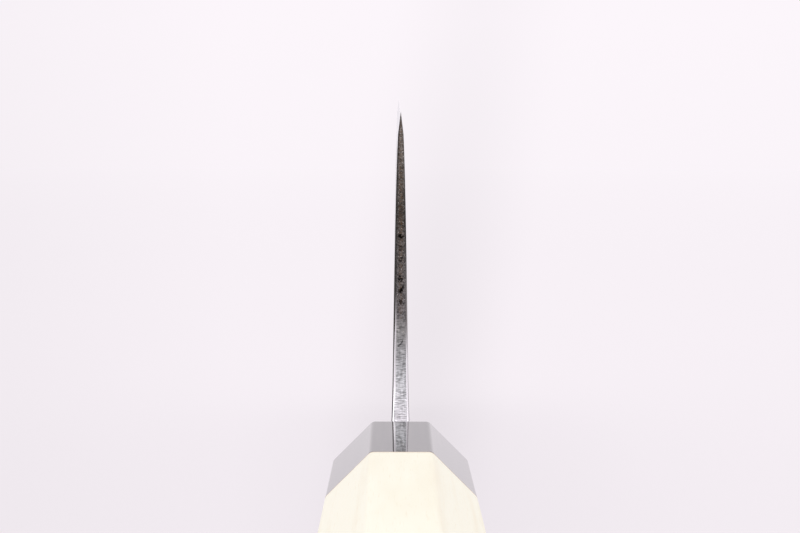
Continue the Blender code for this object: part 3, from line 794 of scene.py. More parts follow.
def make_wood(name, early, late, pore, roughness, front):
    """Fine wood, sanded.

    Growth layers 1.6 mm thick, pores 0.12 mm wide and 5 mm long, and a front end stained by
    the horn's dust and the resin.
    """
    material = bpy.data.materials.new(name)
    material.use_nodes = True
    tree = material.node_tree
    shader = tree.nodes["Principled BSDF"]
    shader.inputs["IOR"].default_value = WOOD_IOR
    coords = add(tree, "ShaderNodeTexCoord")
    line = grain(tree, coords, RING_CELL, 3.0)
    line = add(tree, "ShaderNodeMapRange", {0: line, 1: LATE_NOISE[0], 2: LATE_NOISE[1]})
    tone = {0: line.outputs[0], 6: linear(early), 7: linear(late)}
    tone = add(tree, "ShaderNodeMix", tone, data_type="RGBA")
    fibres = grain(tree, coords, PORE_CELL)
    pores = add(tree, "ShaderNodeMapRange", {0: fibres, 1: PORE_NOISE[0], 2: PORE_NOISE[1]})
    tone = {0: pores.outputs[0], 6: tone.outputs[2], 7: linear(pore)}
    tone = add(tree, "ShaderNodeMix", tone, data_type="RGBA")
    axes = add(tree, "ShaderNodeSeparateXYZ", {0: coords.outputs["Object"]})
    stained = {0: axes.outputs["Y"], 1: front - STAIN_REACH, 2: front - STAIN_FULL, 4: STAIN_SHARE}
    stained = add(tree, "ShaderNodeMapRange", stained)
    tone = {0: stained.outputs[0], 6: tone.outputs[2], 7: linear(STAIN)}
    tone = add(tree, "ShaderNodeMix", tone, data_type="RGBA")
    tree.links.new(tone.outputs[2], shader.inputs["Base Color"])
    smooth, rough = roughness - SMOOTHER_FIBRES, roughness + ROUGHER_PORES
    gloss = {0: fibres, 1: NOISE_LOW, 2: NOISE_HIGH, 3: smooth, 4: rough}
    gloss = add(tree, "ShaderNodeMapRange", gloss)
    tree.links.new(gloss.outputs[0], shader.inputs["Roughness"])
    bump = {"Height": fibres, "Distance": PORE_DEPTH, "Strength": PORE_STRENGTH}
    bump = add(tree, "ShaderNodeBump", bump, invert=True)
    tree.links.new(bump.outputs[0], shader.inputs["Normal"])
    return material


magnolia = make_wood("sanded_magnolia", "fffbeb", "f8efda", "f8f0dd", 0.50, JOINT_Y)
dowel_wood = make_wood("turned_dowel_wood", "dcc39a", "c5a577", "8f7049", 0.60, DATUM_Y)
print(magnolia.name, dowel_wood.name, len(magnolia.node_tree.nodes), "nodes each")

# %% Resin
RESIN_IOR = 1.52
DARK_RESIN = "1f1814"
BROWN_RESIN = "35291f"
GLOSSIEST_RESIN = 0.22
DULLEST_RESIN = 0.45
LUMP_SIZE = 0.9 * MM
LUMP_DEPTH = 0.05 * MM
LUMP_STRENGTH = 0.6


def make_resin():
    """Dark resin, poured and wiped: a semi gloss that is a little uneven."""
    material = bpy.data.materials.new("poured_resin")
    material.use_nodes = True
    tree = material.node_tree
    shader = tree.nodes["Principled BSDF"]
    shader.inputs["IOR"].default_value = RESIN_IOR
    coords = add(tree, "ShaderNodeTexCoord")
    lumps = {"Vector": coords.outputs["Object"], "Scale": 1 / LUMP_SIZE, "Detail": 3.0}
    lumps = add(tree, "ShaderNodeTexNoise", lumps).outputs["Fac"]
    tone = {0: lumps, 6: linear(DARK_RESIN), 7: linear(BROWN_RESIN)}
    tone = add(tree, "ShaderNodeMix", tone, data_type="RGBA")
    tree.links.new(tone.outputs[2], shader.inputs["Base Color"])
    gloss = {0: lumps, 1: NOISE_LOW, 2: NOISE_HIGH, 3: GLOSSIEST_RESIN, 4: DULLEST_RESIN}
    gloss = add(tree, "ShaderNodeMapRange", gloss)
    tree.links.new(gloss.outputs[0], shader.inputs["Roughness"])
    bump = {"Height": lumps, "Distance": LUMP_DEPTH, "Strength": LUMP_STRENGTH}
    bump = add(tree, "ShaderNodeBump", bump)
    tree.links.new(bump.outputs[0], shader.inputs["Normal"])
    return material


resin = make_resin()
print(resin.name, len(resin.node_tree.nodes), "nodes")

# %% [markdown]
# ## Trees that make meshes
#
# A Geometry Nodes tree is a small machine with named dials. The helpers here make a new tree with
# its dials, and run a tree on a mesh: they set the dials by their identifiers, take the result as
# a plain mesh, merge doubled points and turn all faces outwards. The Weighted Normal modifier then
# lets the large faces rule the shading, so that a flat facet mirrors like a flat facet, although
# its ridges are round.

# %% A new tree
def new_tree(name, dials):
    """A Geometry Nodes tree with a mesh input and the named inputs, and its input node."""
    tree = bpy.data.node_groups.new(name, "GeometryNodeTree")
    tree.interface.new_socket("Mesh", in_out="INPUT", socket_type="NodeSocketGeometry")
    tree.interface.new_socket("Mesh", in_out="OUTPUT", socket_type="NodeSocketGeometry")
    for dial, kind in dials.items():
        tree.interface.new_socket(dial, in_out="INPUT", socket_type="NodeSocket" + kind)
    return tree, add(tree, "NodeGroupInput")


print("trees so far:", len(bpy.data.node_groups))

# %% Running a tree
MERGE_DISTANCE = 1e-6
SHARP_ANGLE = math.radians(32)


def plain_mesh(piece):
    """The mesh of an object with its modifiers worked out, as plain data."""
    graph = bpy.context.evaluated_depsgraph_get()
    evaluated = piece.evaluated_get(graph)
    return bpy.data.meshes.new_from_object(evaluated, preserve_all_data_layers=True, depsgraph=graph)


def run_tree(name, mesh, tree, values):
    """A new object with the plain mesh that the tree makes from the given one."""
    piece = bpy.data.objects.new(name, mesh)
    bpy.context.scene.collection.objects.link(piece)
    modifier = piece.modifiers.new(tree.name, "NODES")
    modifier.node_group = tree
    for item in tree.interface.items_tree:
        if item.name in values:
            modifier[item.identifier] = values[item.name]
    made = plain_mesh(piece)
    piece.modifiers.remove(modifier)
    form = bmesh.new()
    form.from_mesh(made)
    bmesh.ops.remove_doubles(form, verts=form.verts, dist=MERGE_DISTANCE)
    bmesh.ops.recalc_face_normals(form, faces=form.faces)
    open_edges = sum(not edge.is_manifold for edge in form.edges)
    form.to_mesh(made)
    form.free()
    piece.data = made
    made.shade_smooth()
    made.set_sharp_from_angle(angle=SHARP_ANGLE)
    even = piece.modifiers.new("even", "WEIGHTED_NORMAL")
    even.keep_sharp = True
    piece.data = plain_mesh(piece)
    piece.modifiers.remove(even)
    print(name, len(made.polygons), "faces,", open_edges, "open edges")
    return piece


print("points closer than", round(MERGE_DISTANCE / MM, 4), "mm are merged")

# %% [markdown]
# ## The octagonal handle
#
# A handle maker planes a tapered bar and then takes its four corners down, which makes the
# octagon. The tree does the same: a rectangle gets its corners cut, then its eight ridges eased,
# and the profile is carried along the handle's axis. A last step lets the bar grow towards the
# butt. A cylinder of eight sides with bevels would be quicker, but its eight sides would be alike,
# and a handle's are not. The ferrule and the wood are two lengths of one bar, so their facets run on.

# %% Dials of the octagon bar
bar, dials = new_tree(
    "octagon bar",
    {
        "Front": "Float",
        "Back": "Float",
        "Front chamfer": "Float",
        "Back chamfer": "Float",
        "Width": "Float",
        "Height": "Float",
        "Corner cut": "Float",
        "Ridge radius": "Float",
        "Growth start": "Float",
        "Width growth": "Float",
        "Height growth": "Float",
        "Cut growth": "Float",
        "Axis height": "Float",
        "Bore radius": "Float",
        "Bore end": "Float",
        "Tang hole radius": "Float",
        "Tang hole end": "Float",
        "Finish": "Material",
    },
)
dial = dials.outputs
print("octagon bar:", len(dial) - 2, "dials")

# %% Rings along the bar
# At each end four rings lie on a quarter round, which eases the end, and one lies beyond it.
RINGS_AT_END = 5
ROUNDING_RINGS = 3
LAST_RING = 0.5 * MM

count = 2 * RINGS_AT_END
line = add(bar, "GeometryNodeMeshLine", {"Count": count})
number = add(bar, "GeometryNodeInputIndex")
at_back = add(bar, "ShaderNodeMath", {0: number.outputs[0], 1: RINGS_AT_END - 0.5}, operation="GREATER_THAN")
from_back = add(bar, "ShaderNodeMath", {0: float(count - 1), 1: number.outputs[0]}, operation="SUBTRACT")
step = add(bar, "ShaderNodeMath", {0: number.outputs[0], 1: from_back.outputs[0]}, operation="MINIMUM")
turn = add(bar, "ShaderNodeMath", {0: step.outputs[0], 1: float(ROUNDING_RINGS)}, operation="MINIMUM")
beyond = add(bar, "ShaderNodeMath", {0: step.outputs[0], 1: turn.outputs[0]}, operation="SUBTRACT")
beyond = add(bar, "ShaderNodeMath", {0: beyond.outputs[0], 1: LAST_RING}, operation="MULTIPLY")
turn = add(bar, "ShaderNodeMath", {0: turn.outputs[0], 1: math.pi / 2 / ROUNDING_RINGS}, operation="MULTIPLY")
sine = add(bar, "ShaderNodeMath", {0: turn.outputs[0]}, operation="SINE")
cosine = add(bar, "ShaderNodeMath", {0: turn.outputs[0]}, operation="COSINE")
chamfer = {0: at_back.outputs[0], 2: dial["Front chamfer"], 3: dial["Back chamfer"]}
chamfer = add(bar, "ShaderNodeMix", chamfer)
end = add(bar, "ShaderNodeMix", {0: at_back.outputs[0], 2: dial["Front"], 3: dial["Back"]})
sign = add(bar, "ShaderNodeMix", {0: at_back.outputs[0], 2: -1.0, 3: 1.0})
inwards = add(bar, "ShaderNodeMath", {0: 1.0, 1: cosine.outputs[0]}, operation="SUBTRACT")
inwards = {0: inwards.outputs[0], 1: chamfer.outputs[0], 2: beyond.outputs[0]}
inwards = add(bar, "ShaderNodeMath", inwards, operation="MULTIPLY_ADD")
ring_y = {0: inwards.outputs[0], 1: sign.outputs[0], 2: end.outputs[0]}
ring_y = add(bar, "ShaderNodeMath", ring_y, operation="MULTIPLY_ADD")
inset = add(bar, "ShaderNodeMath", {0: 1.0, 1: sine.outputs[0]}, operation="SUBTRACT")
inset = add(bar, "ShaderNodeMath", {0: inset.outputs[0], 1: chamfer.outputs[0]}, operation="MULTIPLY")
half_width = add(bar, "ShaderNodeMath", {0: dial["Width"], 1: 2.0}, operation="DIVIDE")
size = add(bar, "ShaderNodeMath", {0: half_width.outputs[0], 1: inset.outputs[0]}, operation="SUBTRACT")
size = add(bar, "ShaderNodeMath", {0: size.outputs[0], 1: half_width.outputs[0]}, operation="DIVIDE")
spot = add(bar, "ShaderNodeCombineXYZ", {"Y": ring_y.outputs[0]})
axis = add(bar, "GeometryNodeSetPosition", {"Geometry": line.outputs[0], "Position": spot.outputs[0]})
axis = add(bar, "GeometryNodeMeshToCurve", {0: axis.outputs[0]})
axis = add(bar, "GeometryNodeSetCurveNormal", {"Curve": axis.outputs[0]}, mode="Z_UP")
print("with its rings:", len(bar.nodes), "nodes")

# %% Profile of the bar
RIDGE_STEPS = 5

profile = {"Width": dial["Width"], "Height": dial["Height"]}
profile = add(bar, "GeometryNodeCurvePrimitiveQuadrilateral", profile)
for rounding, steps in (("Corner cut", 1), ("Ridge radius", RIDGE_STEPS)):
    profile = {"Curve": profile.outputs[0], "Radius": dial[rounding], "Count": steps}
    profile = add(bar, "GeometryNodeFilletCurve", profile, mode="POLY")
solid = {0: axis.outputs[0], 1: profile.outputs[0], 2: size.outputs[0], 3: True}
solid = add(bar, "GeometryNodeCurveToMesh", solid)
print("with its profile:", len(bar.nodes), "nodes")

# %% Growth towards the butt
# The bar grows evenly towards the butt: each ridge moves straight out. The four ridges of the top
# and the bottom move less sideways, and the other four less up and down, as the corners are cut
# back more. Then the bar comes to its height over the floor.
point = add(bar, "GeometryNodeInputPosition")
point = add(bar, "ShaderNodeSeparateXYZ", {0: point.outputs[0]})
behind = add(bar, "ShaderNodeMath", {0: dial["Growth start"], 1: point.outputs["Y"]}, operation="SUBTRACT")
aside = add(bar, "ShaderNodeMath", {0: point.outputs["X"]}, operation="ABSOLUTE")
upright = add(bar, "ShaderNodeMath", {0: point.outputs["Z"]}, operation="ABSOLUTE")
on_top = add(bar, "ShaderNodeMath", {0: upright.outputs[0], 1: aside.outputs[0]}, operation="GREATER_THAN")
moved = {}
for letter, growth, narrower in (("X", "Width growth", 1.0), ("Z", "Height growth", 0.0)):
    half_growth = add(bar, "ShaderNodeMath", {0: dial[growth], 1: 0.5}, operation="MULTIPLY")
    less = add(bar, "ShaderNodeMath", {0: on_top.outputs[0], 1: 1.0 - narrower}, operation="SUBTRACT")
    less = add(bar, "ShaderNodeMath", {0: less.outputs[0]}, operation="ABSOLUTE")
    less = add(bar, "ShaderNodeMath", {0: less.outputs[0], 1: dial["Cut growth"]}, operation="MULTIPLY")
    rate = add(bar, "ShaderNodeMath", {0: half_growth.outputs[0], 1: less.outputs[0]}, operation="SUBTRACT")
    outwards = add(bar, "ShaderNodeMath", {0: point.outputs[letter]}, operation="SIGN")
    rate = add(bar, "ShaderNodeMath", {0: rate.outputs[0], 1: outwards.outputs[0]}, operation="MULTIPLY")
    place = {0: rate.outputs[0], 1: behind.outputs[0], 2: point.outputs[letter]}
    moved[letter] = add(bar, "ShaderNodeMath", place, operation="MULTIPLY_ADD")
lifted = add(bar, "ShaderNodeMath", {0: moved["Z"].outputs[0], 1: dial["Axis height"]}, operation="ADD")
grown = {0: moved["X"].outputs[0], 1: point.outputs["Y"], 2: lifted.outputs[0]}
grown = add(bar, "ShaderNodeCombineXYZ", grown)
solid = {"Geometry": solid.outputs[0], "Position": grown.outputs[0]}
solid = add(bar, "GeometryNodeSetPosition", solid)
print("with its growth:", len(bar.nodes), "nodes")

# %% Two holes in the bar
# They are drilled from the front: a wide one for the dowel, and a narrow one for the tang.
ROUND_SIDES = 64
DRILL_START = 1 * MM

for radius, hole_end in (("Bore radius", "Bore end"), ("Tang hole radius", "Tang hole end")):
    mouth = add(bar, "ShaderNodeMath", {0: dial["Front"], 1: DRILL_START}, operation="ADD")
    depth = add(bar, "ShaderNodeMath", {0: mouth.outputs[0], 1: dial[hole_end]}, operation="SUBTRACT")
    centre = add(bar, "ShaderNodeMath", {0: mouth.outputs[0], 1: dial[hole_end]}, operation="ADD")
    centre = add(bar, "ShaderNodeMath", {0: centre.outputs[0], 1: 0.5}, operation="MULTIPLY")
    centre = add(bar, "ShaderNodeCombineXYZ", {"Y": centre.outputs[0], "Z": dial["Axis height"]})
    drill = {"Vertices": ROUND_SIDES, "Radius": dial[radius], "Depth": depth.outputs[0]}
    drill = add(bar, "GeometryNodeMeshCylinder", drill)
    drill = {0: drill.outputs[0], 1: centre.outputs[0], 2: (math.pi / 2, 0, 0)}
    drill = add(bar, "GeometryNodeTransform", drill)
    solid = {0: solid.outputs[0], 1: drill.outputs[0]}
    solid = add(bar, "GeometryNodeMeshBoolean", solid, operation="DIFFERENCE", solver="EXACT")

solid = add(bar, "GeometryNodeRealizeInstances", {0: solid.outputs[0]})
solid = {"Geometry": solid.outputs[0], "Material": dial["Finish"]}
solid = add(bar, "GeometryNodeSetMaterial", solid)
add(bar, "NodeGroupOutput", {0: solid.outputs[0]})
print("octagon bar:", len(bar.nodes), "nodes")

# %% Ferrule and wood
BORE_ROOM = 0.05 * MM
HOLE_ROOM = 1 * MM

HANDLE = {
    "Width": 17.5 * MM,
    "Height": 21.2 * MM,
    "Corner cut": 5.15 * MM,
    "Ridge radius": 0.9 * MM,
    "Growth start": DATUM_Y,
    "Width growth": 2.8 * MM / (DATUM_Y - BUTT_Y),
    "Height growth": 2.4 * MM / (DATUM_Y - BUTT_Y),
    "Cut growth": 1.25 * MM / (DATUM_Y - BUTT_Y),
    "Axis height": AXIS_Z,
    "Bore radius": DOWEL_RADIUS + BORE_ROOM,
    "Bore end": dowel_low[1] - HOLE_ROOM,
    "Tang hole radius": 4.5 * MM,
    "Tang hole end": TANG_END_Y - HOLE_ROOM,
}
SEAM_CHAMFER = 0.04 * MM
FERRULE_CHAMFER = 0.4 * MM
BUTT_CHAMFER = 1.2 * MM

FERRULE = {
    "Front": DATUM_Y,
    "Back": JOINT_Y,
    "Front chamfer": FERRULE_CHAMFER,
    "Back chamfer": SEAM_CHAMFER,
    "Finish": horn,
}
WOOD = {
    "Front": JOINT_Y,
    "Back": BUTT_Y,
    "Front chamfer": SEAM_CHAMFER,
    "Back chamfer": BUTT_CHAMFER,
    "Finish": magnolia,
}
ferrule = run_tree("horn_ferrule", bpy.data.meshes.new("horn_ferrule"), bar, HANDLE | FERRULE)
handle = run_tree("wooden_handle", bpy.data.meshes.new("wooden_handle"), bar, HANDLE | WOOD)
for piece in (ferrule, handle):
    print(piece.name, [round(1000 * side, 2) for side in piece.dimensions], "mm")

# %% [markdown]
# ## The outline of the blade
#
# A smith forges a flat blank to an outline before the sides are ground. Here the blank is a set of
# columns. Each column is a straight line across it, from a foot on the spine to a head on the tang,
# the neck, the choil, the heel or the cutting edge. Rows of points then divide every column. A thin
# wedge could be cut to the outline instead, but the cut would leave long, uneven faces at the rim.
# The grid follows the outline exactly, and its even rows keep the reflections smooth.

# %% Spine and cutting edge
HEEL_Y = DATUM_Y + 14 * MM
SPINE_RISE = 2.2 * MM
EDGE_DROP = 2.4 * MM
FLAT_EDGE_SHARE = 0.55


def between(start, end, share):
    """The value that lies this share of the way from start to end."""
    return start + (end - start) * share


def along_blade(y):
    """Share of the blade's length at y, 0 at the heel and 1 at the front."""
    return np.clip((y - HEEL_Y) / (FRONT_Y - HEEL_Y), 0, 1)


def spine_z(y):
    """The spine rises slowly towards the front."""
    return SPINE_Z + SPINE_RISE * along_blade(y) ** 2


def edge_z(y):
    """The cutting edge is straight from the heel, and falls away towards the front."""
    past_flat = np.clip(along_blade(y) - FLAT_EDGE_SHARE, 0, 1) / (1 - FLAT_EDGE_SHARE)
    return EDGE_Z - EDGE_DROP * past_flat**2


print("the edge falls by", round((edge_z(HEEL_Y) - edge_z(FRONT_Y)) / MM, 1), "mm")

# %% Rounded front
FRONT_SPINE_RADIUS = 14 * MM
FRONT_EDGE_RADIUS = 4 * MM


def foot_at(y):
    """A point (y, z) of the spine, which is rounded up at the front."""
    corner_y = FRONT_Y - FRONT_SPINE_RADIUS
    reach = np.clip((y - corner_y) / FRONT_SPINE_RADIUS, 0, 1)
    return y, spine_z(min(y, corner_y)) + FRONT_SPINE_RADIUS * (1 - math.sqrt(1 - reach**2))


def head_at(y):
    """A point (y, z) of the cutting edge, which is rounded down at the front."""
    corner_y = FRONT_Y - FRONT_EDGE_RADIUS
    reach = np.clip((y - corner_y) / FRONT_EDGE_RADIUS, 0, 1)
    return y, edge_z(min(y, corner_y)) - FRONT_EDGE_RADIUS * (1 - math.sqrt(1 - reach**2))


front = [foot_at(FRONT_Y)[1], head_at(FRONT_Y)[1]]
print("front straight between", [round(float(z - SPINE_Z) / MM, 1) for z in front], "mm over the spine")

# %% Columns of the tang
MACHI_Y = DATUM_Y + 0.8 * MM
SHOULDER_STEP = 0.05 * MM
TANG_PARALLEL_Y = DATUM_Y - 8 * MM
TANG_HALF = 4.5 * MM
TANG_END_HALF = 2.25 * MM
TANG_END_COLUMNS = 6
TANG_COLUMNS = 8


def tang_columns():
    """Pairs of a foot and a head: the tang's round end, its taper and its parallel part."""
    found = []
    for step in range(1, TANG_END_COLUMNS + 1):
        angle = math.radians(90 * step / TANG_END_COLUMNS)
        y = TANG_END_Y + TANG_END_HALF * (1 - math.cos(angle))
        half = TANG_END_HALF * math.sin(angle)
        found.append(((y, AXIS_Z - half), (y, AXIS_Z + half)))
    for step in range(1, TANG_COLUMNS + 1):
        y = between(TANG_END_Y + TANG_END_HALF, TANG_PARALLEL_Y, step / TANG_COLUMNS)
        half = between(TANG_END_HALF, TANG_HALF, step / TANG_COLUMNS)
        found.append(((y, AXIS_Z - half), (y, AXIS_Z + half)))
    y = MACHI_Y - SHOULDER_STEP
    found.append(((y, AXIS_Z - TANG_HALF), (y, AXIS_Z + TANG_HALF)))
    return found


print("tang:", len(tang_columns()), "columns")

# %% Columns of the neck, the choil and the heel
NECK_FLAT = 2 * MM
NECK_Z = SPINE_Z + 13 * MM
CHOIL_RISE = 15 * MM
NECK_COLUMNS = 5
CHOIL_COLUMNS = 28
HEEL_COLUMNS = 40
# How far along the spine the feet of the choil's and the heel's columns fan out.
CHOIL_FAN = 18 * MM
HEEL_FAN = 30 * MM


def neck_columns():
    """Pairs of a foot and a head: the neck, the choil's quarter ellipse and the straight heel."""
    choil_start = MACHI_Y + NECK_FLAT
    neck = np.linspace(MACHI_Y, choil_start, NECK_COLUMNS + 1)[:-1]
    found = [(foot_at(y), (y, NECK_Z)) for y in neck]
    for share in np.linspace(0, 1, CHOIL_COLUMNS + 1)[:-1]:
        angle = math.radians(between(-90, 0, share))
        head_y = choil_start + (HEEL_Y - choil_start) * math.cos(angle)
        head = (head_y, NECK_Z + CHOIL_RISE * (1 + math.sin(angle)))
        found.append((foot_at(between(choil_start, MACHI_Y + CHOIL_FAN, share)), head))
    for share in np.linspace(0, 1, HEEL_COLUMNS + 1)[:-1]:
        head = (HEEL_Y, between(NECK_Z + CHOIL_RISE, EDGE_Z, share))
        found.append((foot_at(between(MACHI_Y + CHOIL_FAN, MACHI_Y + HEEL_FAN, share)), head))
    return found


print("neck, choil and heel:", len(neck_columns()), "columns")

# %% Columns of the cutting edge
EDGE_COLUMNS = 70
EDGE_CROWDING = 1.3
CORNER_COLUMNS = 15


def edge_columns():
    """Pairs of a foot and a head: along the cutting edge, and round the front corner."""
    corner_y = FRONT_Y - FRONT_EDGE_RADIUS
    found = []
    for share in np.linspace(0, 1, EDGE_COLUMNS + 1)[:-1] ** EDGE_CROWDING:
        foot = foot_at(between(MACHI_Y + HEEL_FAN, corner_y, share))
        found.append((foot, head_at(between(HEEL_Y, corner_y, share))))
    for angle in np.radians(np.linspace(0, 90, CORNER_COLUMNS)):
        y = corner_y + FRONT_EDGE_RADIUS * math.sin(angle)
        found.append((foot_at(y), head_at(y)))
    return found


print("cutting edge and front corner:", len(edge_columns()), "columns")

# %% All columns
groups = [tang_columns(), neck_columns(), edge_columns()]
feet = np.array([foot for group in groups for foot, head in group])
heads = np.array([head for group in groups for foot, head in group])
first_edge_column = len(groups[0]) + len(groups[1])
print(len(feet), "columns, the cutting edge from number", first_edge_column)

# %% [markdown]
# ## Thickness
#
# The grinder takes the sides to a convex wedge: it is thickest at the spine, thins slowly and then
# ever faster, and ends in a straight bevel at the edge. The neck keeps flat sides. Where the wedge
# gets thinner than the hard core, the core comes to light, and that border is the weld line. It
# wanders a little, because the layers were welded under the hammer. Such a wedge could be lofted
# through sections. A rule for the thickness at every point was chosen, because the weld line then
# comes out of it by itself, as it does on the grindstone.

# %% Changes along the knife
SHOULDER_LENGTH = 7 * MM
TANG_END_TAPER = 0.64
# Waves of the core's thickness: share of it, length over two pi, and start.
CORE_WAVES = ((0.035, 9.1 * MM, 0), (0.025, 5.3 * MM, 2), (0.015, 2.2 * MM, 0))


def shoulder_share(y):
    """1 where the neck's flat sides are, 0 where the grinding has all of its depth."""
    share = np.clip((HEEL_Y - y) / SHOULDER_LENGTH, 0, 1)
    return share**2 * (3 - 2 * share)


def taper_share(y):
    """The tang's thickness at y as a share of the neck's, as it thins towards its end."""
    share = np.clip((TANG_PARALLEL_Y - y) / (TANG_PARALLEL_Y - TANG_END_Y), 0, 1)
    return between(1.0, TANG_END_TAPER, share)


def core_wave(y):
    """The core's thickness at y as a share of its plain size: a few slow waves."""
    return sum((share * np.sin(y / length + start) for share, length, start in CORE_WAVES), 1)


print("the tang ends at", TANG_END_TAPER, "of the neck's thickness")

# %% Thickness of the blade
GRIND_POWER = 0.42
EDGE_BEVEL = 3.0 * MM
NECK_THICKNESS = 2.5 * MM
SPINE_THICKNESS_HEEL = 2.5 * MM
SPINE_THICKNESS_FRONT = 1.8 * MM
EASED_EDGE = 0.3 * MM
EASED_SHARE = 0.5
LEAST_EASED_SHARE = 0.12


def half_thickness(y, depth):
    """Half the whole blade's thickness at y, at a depth below the cutting edge."""
    spine = between(SPINE_THICKNESS_HEEL, SPINE_THICKNESS_FRONT, along_blade(y))
    wedge = (np.maximum(depth, EDGE_BEVEL) / (edge_z(y) - spine_z(y))) ** GRIND_POWER
    ground = spine * wedge * np.minimum(depth / EDGE_BEVEL, 1)
    return between(ground, NECK_THICKNESS * taper_share(y), shoulder_share(y)) / 2


def eased_radius(half):
    """How round the rim's corners are: as the eased edge, or less where the cladding is thin."""
    radius = np.maximum(EASED_SHARE * (half - CORE_THICKNESS / 2), LEAST_EASED_SHARE * half)
    return np.minimum(EASED_EDGE, radius)


at_heel = [2 * half_thickness(HEEL_Y, depth * MM) / MM for depth in (3, 10, 30)]
print("3, 10 and 30 mm below the edge, the heel is", [round(float(t), 2) for t in at_heel], "mm thick")

# %% Weld line
DEEPEST_WELD = 30 * MM
WELD_TRIES = 3000


def weld_depth(y):
    """How far below the edge the core comes to light at each y."""
    depths = np.linspace(0, DEEPEST_WELD, WELD_TRIES)
    bare = half_thickness(y[:, None], depths) < CORE_THICKNESS / 2 * core_wave(y)[:, None]
    return depths[bare.sum(axis=1) - 1] * bare.any(axis=1)


print("core bare for", [round(1000 * d, 1) for d in weld_depth(np.linspace(HEEL_Y, FRONT_Y, 6))], "mm")

# %% [markdown]
# ## The flat blank
#
# The blank's points are the columns divided into rows, close together at the rim, where the corners
# will be rounded, and with one row on the weld line. It has two sheets, one for each face of a
# layer, joined by strips round the rim, and both sheets still lie in the plane of the blade. Its
# attributes tell each point's depth below the edge and distance from the rim, what changes along
# the knife, and which sheet the point is on. The sheets could be moved by a script as well. They
# stay flat here, so that one tree can grind all three layers from the same blank.

# %% Rows at the rim
RIM_ROWS = np.array([0, 0.03, 0.07, 0.12, 0.18, 0.24, 0.31, 0.4]) * MM
MOST_SLANT = 6.0
MOST_RIM_SHARE = 0.25


def slant(ends):
    """How much longer than straight in the way from the rim along a column is."""
    along = np.gradient(ends, axis=0)
    across = feet - heads
    sines = np.abs(along[:, 0] * across[:, 1] - along[:, 1] * across[:, 0])
    sines /= np.linalg.norm(along, axis=1) * np.linalg.norm(across, axis=1)
    return 1 / np.maximum(sines, 1 / MOST_SLANT)


def rim_shares(ends, lengths):
    """Rows at the rim distances, as shares of the columns, which take at most a quarter of them."""
    reach = np.minimum(RIM_ROWS[-1] * slant(ends) / lengths, MOST_RIM_SHARE)
    return reach[:, None] * RIM_ROWS / RIM_ROWS[-1]


lengths = np.linalg.norm(feet - heads, axis=1)
top = rim_shares(heads, lengths)
bottom = 1 - rim_shares(feet, lengths)[:, ::-1]
print(len(RIM_ROWS), "rows at each rim, down to", round(RIM_ROWS[-1] / MM, 2), "mm")

# %% Rows between
EDGE_ROWS = 10
CLADDING_ROWS = 24
LEAST_EDGE_SHARE = 0.03
# The weld line is looked for down to this share of a column, at this many places.
WELD_SHARE = 0.5
WELD_PLACES = 4000


def weld_shares():
    """Where the weld line crosses each column, or 0 where it doesn't."""
    shares = np.linspace(0, WELD_SHARE, WELD_PLACES)
    y = heads[:, 0, None] + (feet - heads)[:, 0, None] * shares
    z = heads[:, 1, None] + (feet - heads)[:, 1, None] * shares
    bare = half_thickness(y, edge_z(y) - z) < CORE_THICKNESS / 2 * core_wave(y)
    return shares[np.maximum(bare.sum(axis=1) - 1, 0)] * bare.any(axis=1)


weld = np.maximum(weld_shares(), top[:, -1] + LEAST_EDGE_SHARE)
edge_steps = np.linspace(0, 1, EDGE_ROWS + 1)[1:]
edge_part = top[:, -1:] + (weld - top[:, -1])[:, None] * edge_steps
lower_steps = np.linspace(0, 1, CLADDING_ROWS + 1)[1:-1]
lower_part = weld[:, None] + (bottom[:, 0] - weld)[:, None] * lower_steps
shares = np.concatenate([top, edge_part, lower_part, bottom], axis=1)
grid = heads[:, None, :] + (feet - heads)[:, None, :] * shares[:, :, None]
print("blank of", grid.shape[0], "columns by", grid.shape[1], "rows")

# %% Distance from the rim
rim_line = np.concatenate([heads[first_edge_column::-1], feet[1:], [heads[-1]]])
starts, ends = rim_line[:-1], rim_line[1:]


def distance_from_rim(points):
    """Distance of each point from the blank's outline, the cutting edge left out."""
    nearest = np.full(len(points), np.inf)
    for start, end in zip(starts, ends):
        side = end - start
        share = np.clip((points - start) @ side / max(side @ side, 1e-18), 0, 1)
        nearest = np.minimum(nearest, np.linalg.norm(points - start - share[:, None] * side, axis=1))
    return nearest


flat = grid.reshape(-1, 2)
from_rim = distance_from_rim(flat)
y_flat, z_flat = flat.T
measures = {
    "from_rim": from_rim,
    "from_edge": np.maximum(edge_z(y_flat) - z_flat, 0),
    "blade_height": edge_z(y_flat) - spine_z(y_flat),
    "along": along_blade(y_flat),
    "shoulder": shoulder_share(y_flat),
    "taper": taper_share(y_flat),
    "wave": core_wave(y_flat),
}
print("widest distance from the rim", round(1000 * from_rim.max(), 1), "mm")

# %% Blank
column_count, row_count = grid.shape[:2]
numbers = np.arange(column_count * row_count).reshape(column_count, row_count)
sheet = [numbers[:-1, :-1], numbers[1:, :-1], numbers[1:, 1:], numbers[:-1, 1:]]
sheet = np.stack(sheet, axis=-1).reshape(-1, 4)
border = np.concatenate([numbers[:, 0], numbers[-1, 1:], numbers[-2::-1, -1], numbers[0, -2:0:-1]])
after = np.roll(border, -1)
back = len(flat)
strips = np.stack([border, after, after + back, border + back], axis=-1)
faces = np.concatenate([sheet, sheet[:, ::-1] + back, strips])
points = np.zeros((2 * back, 3))
points[:, 1:] = np.concatenate([flat, flat])

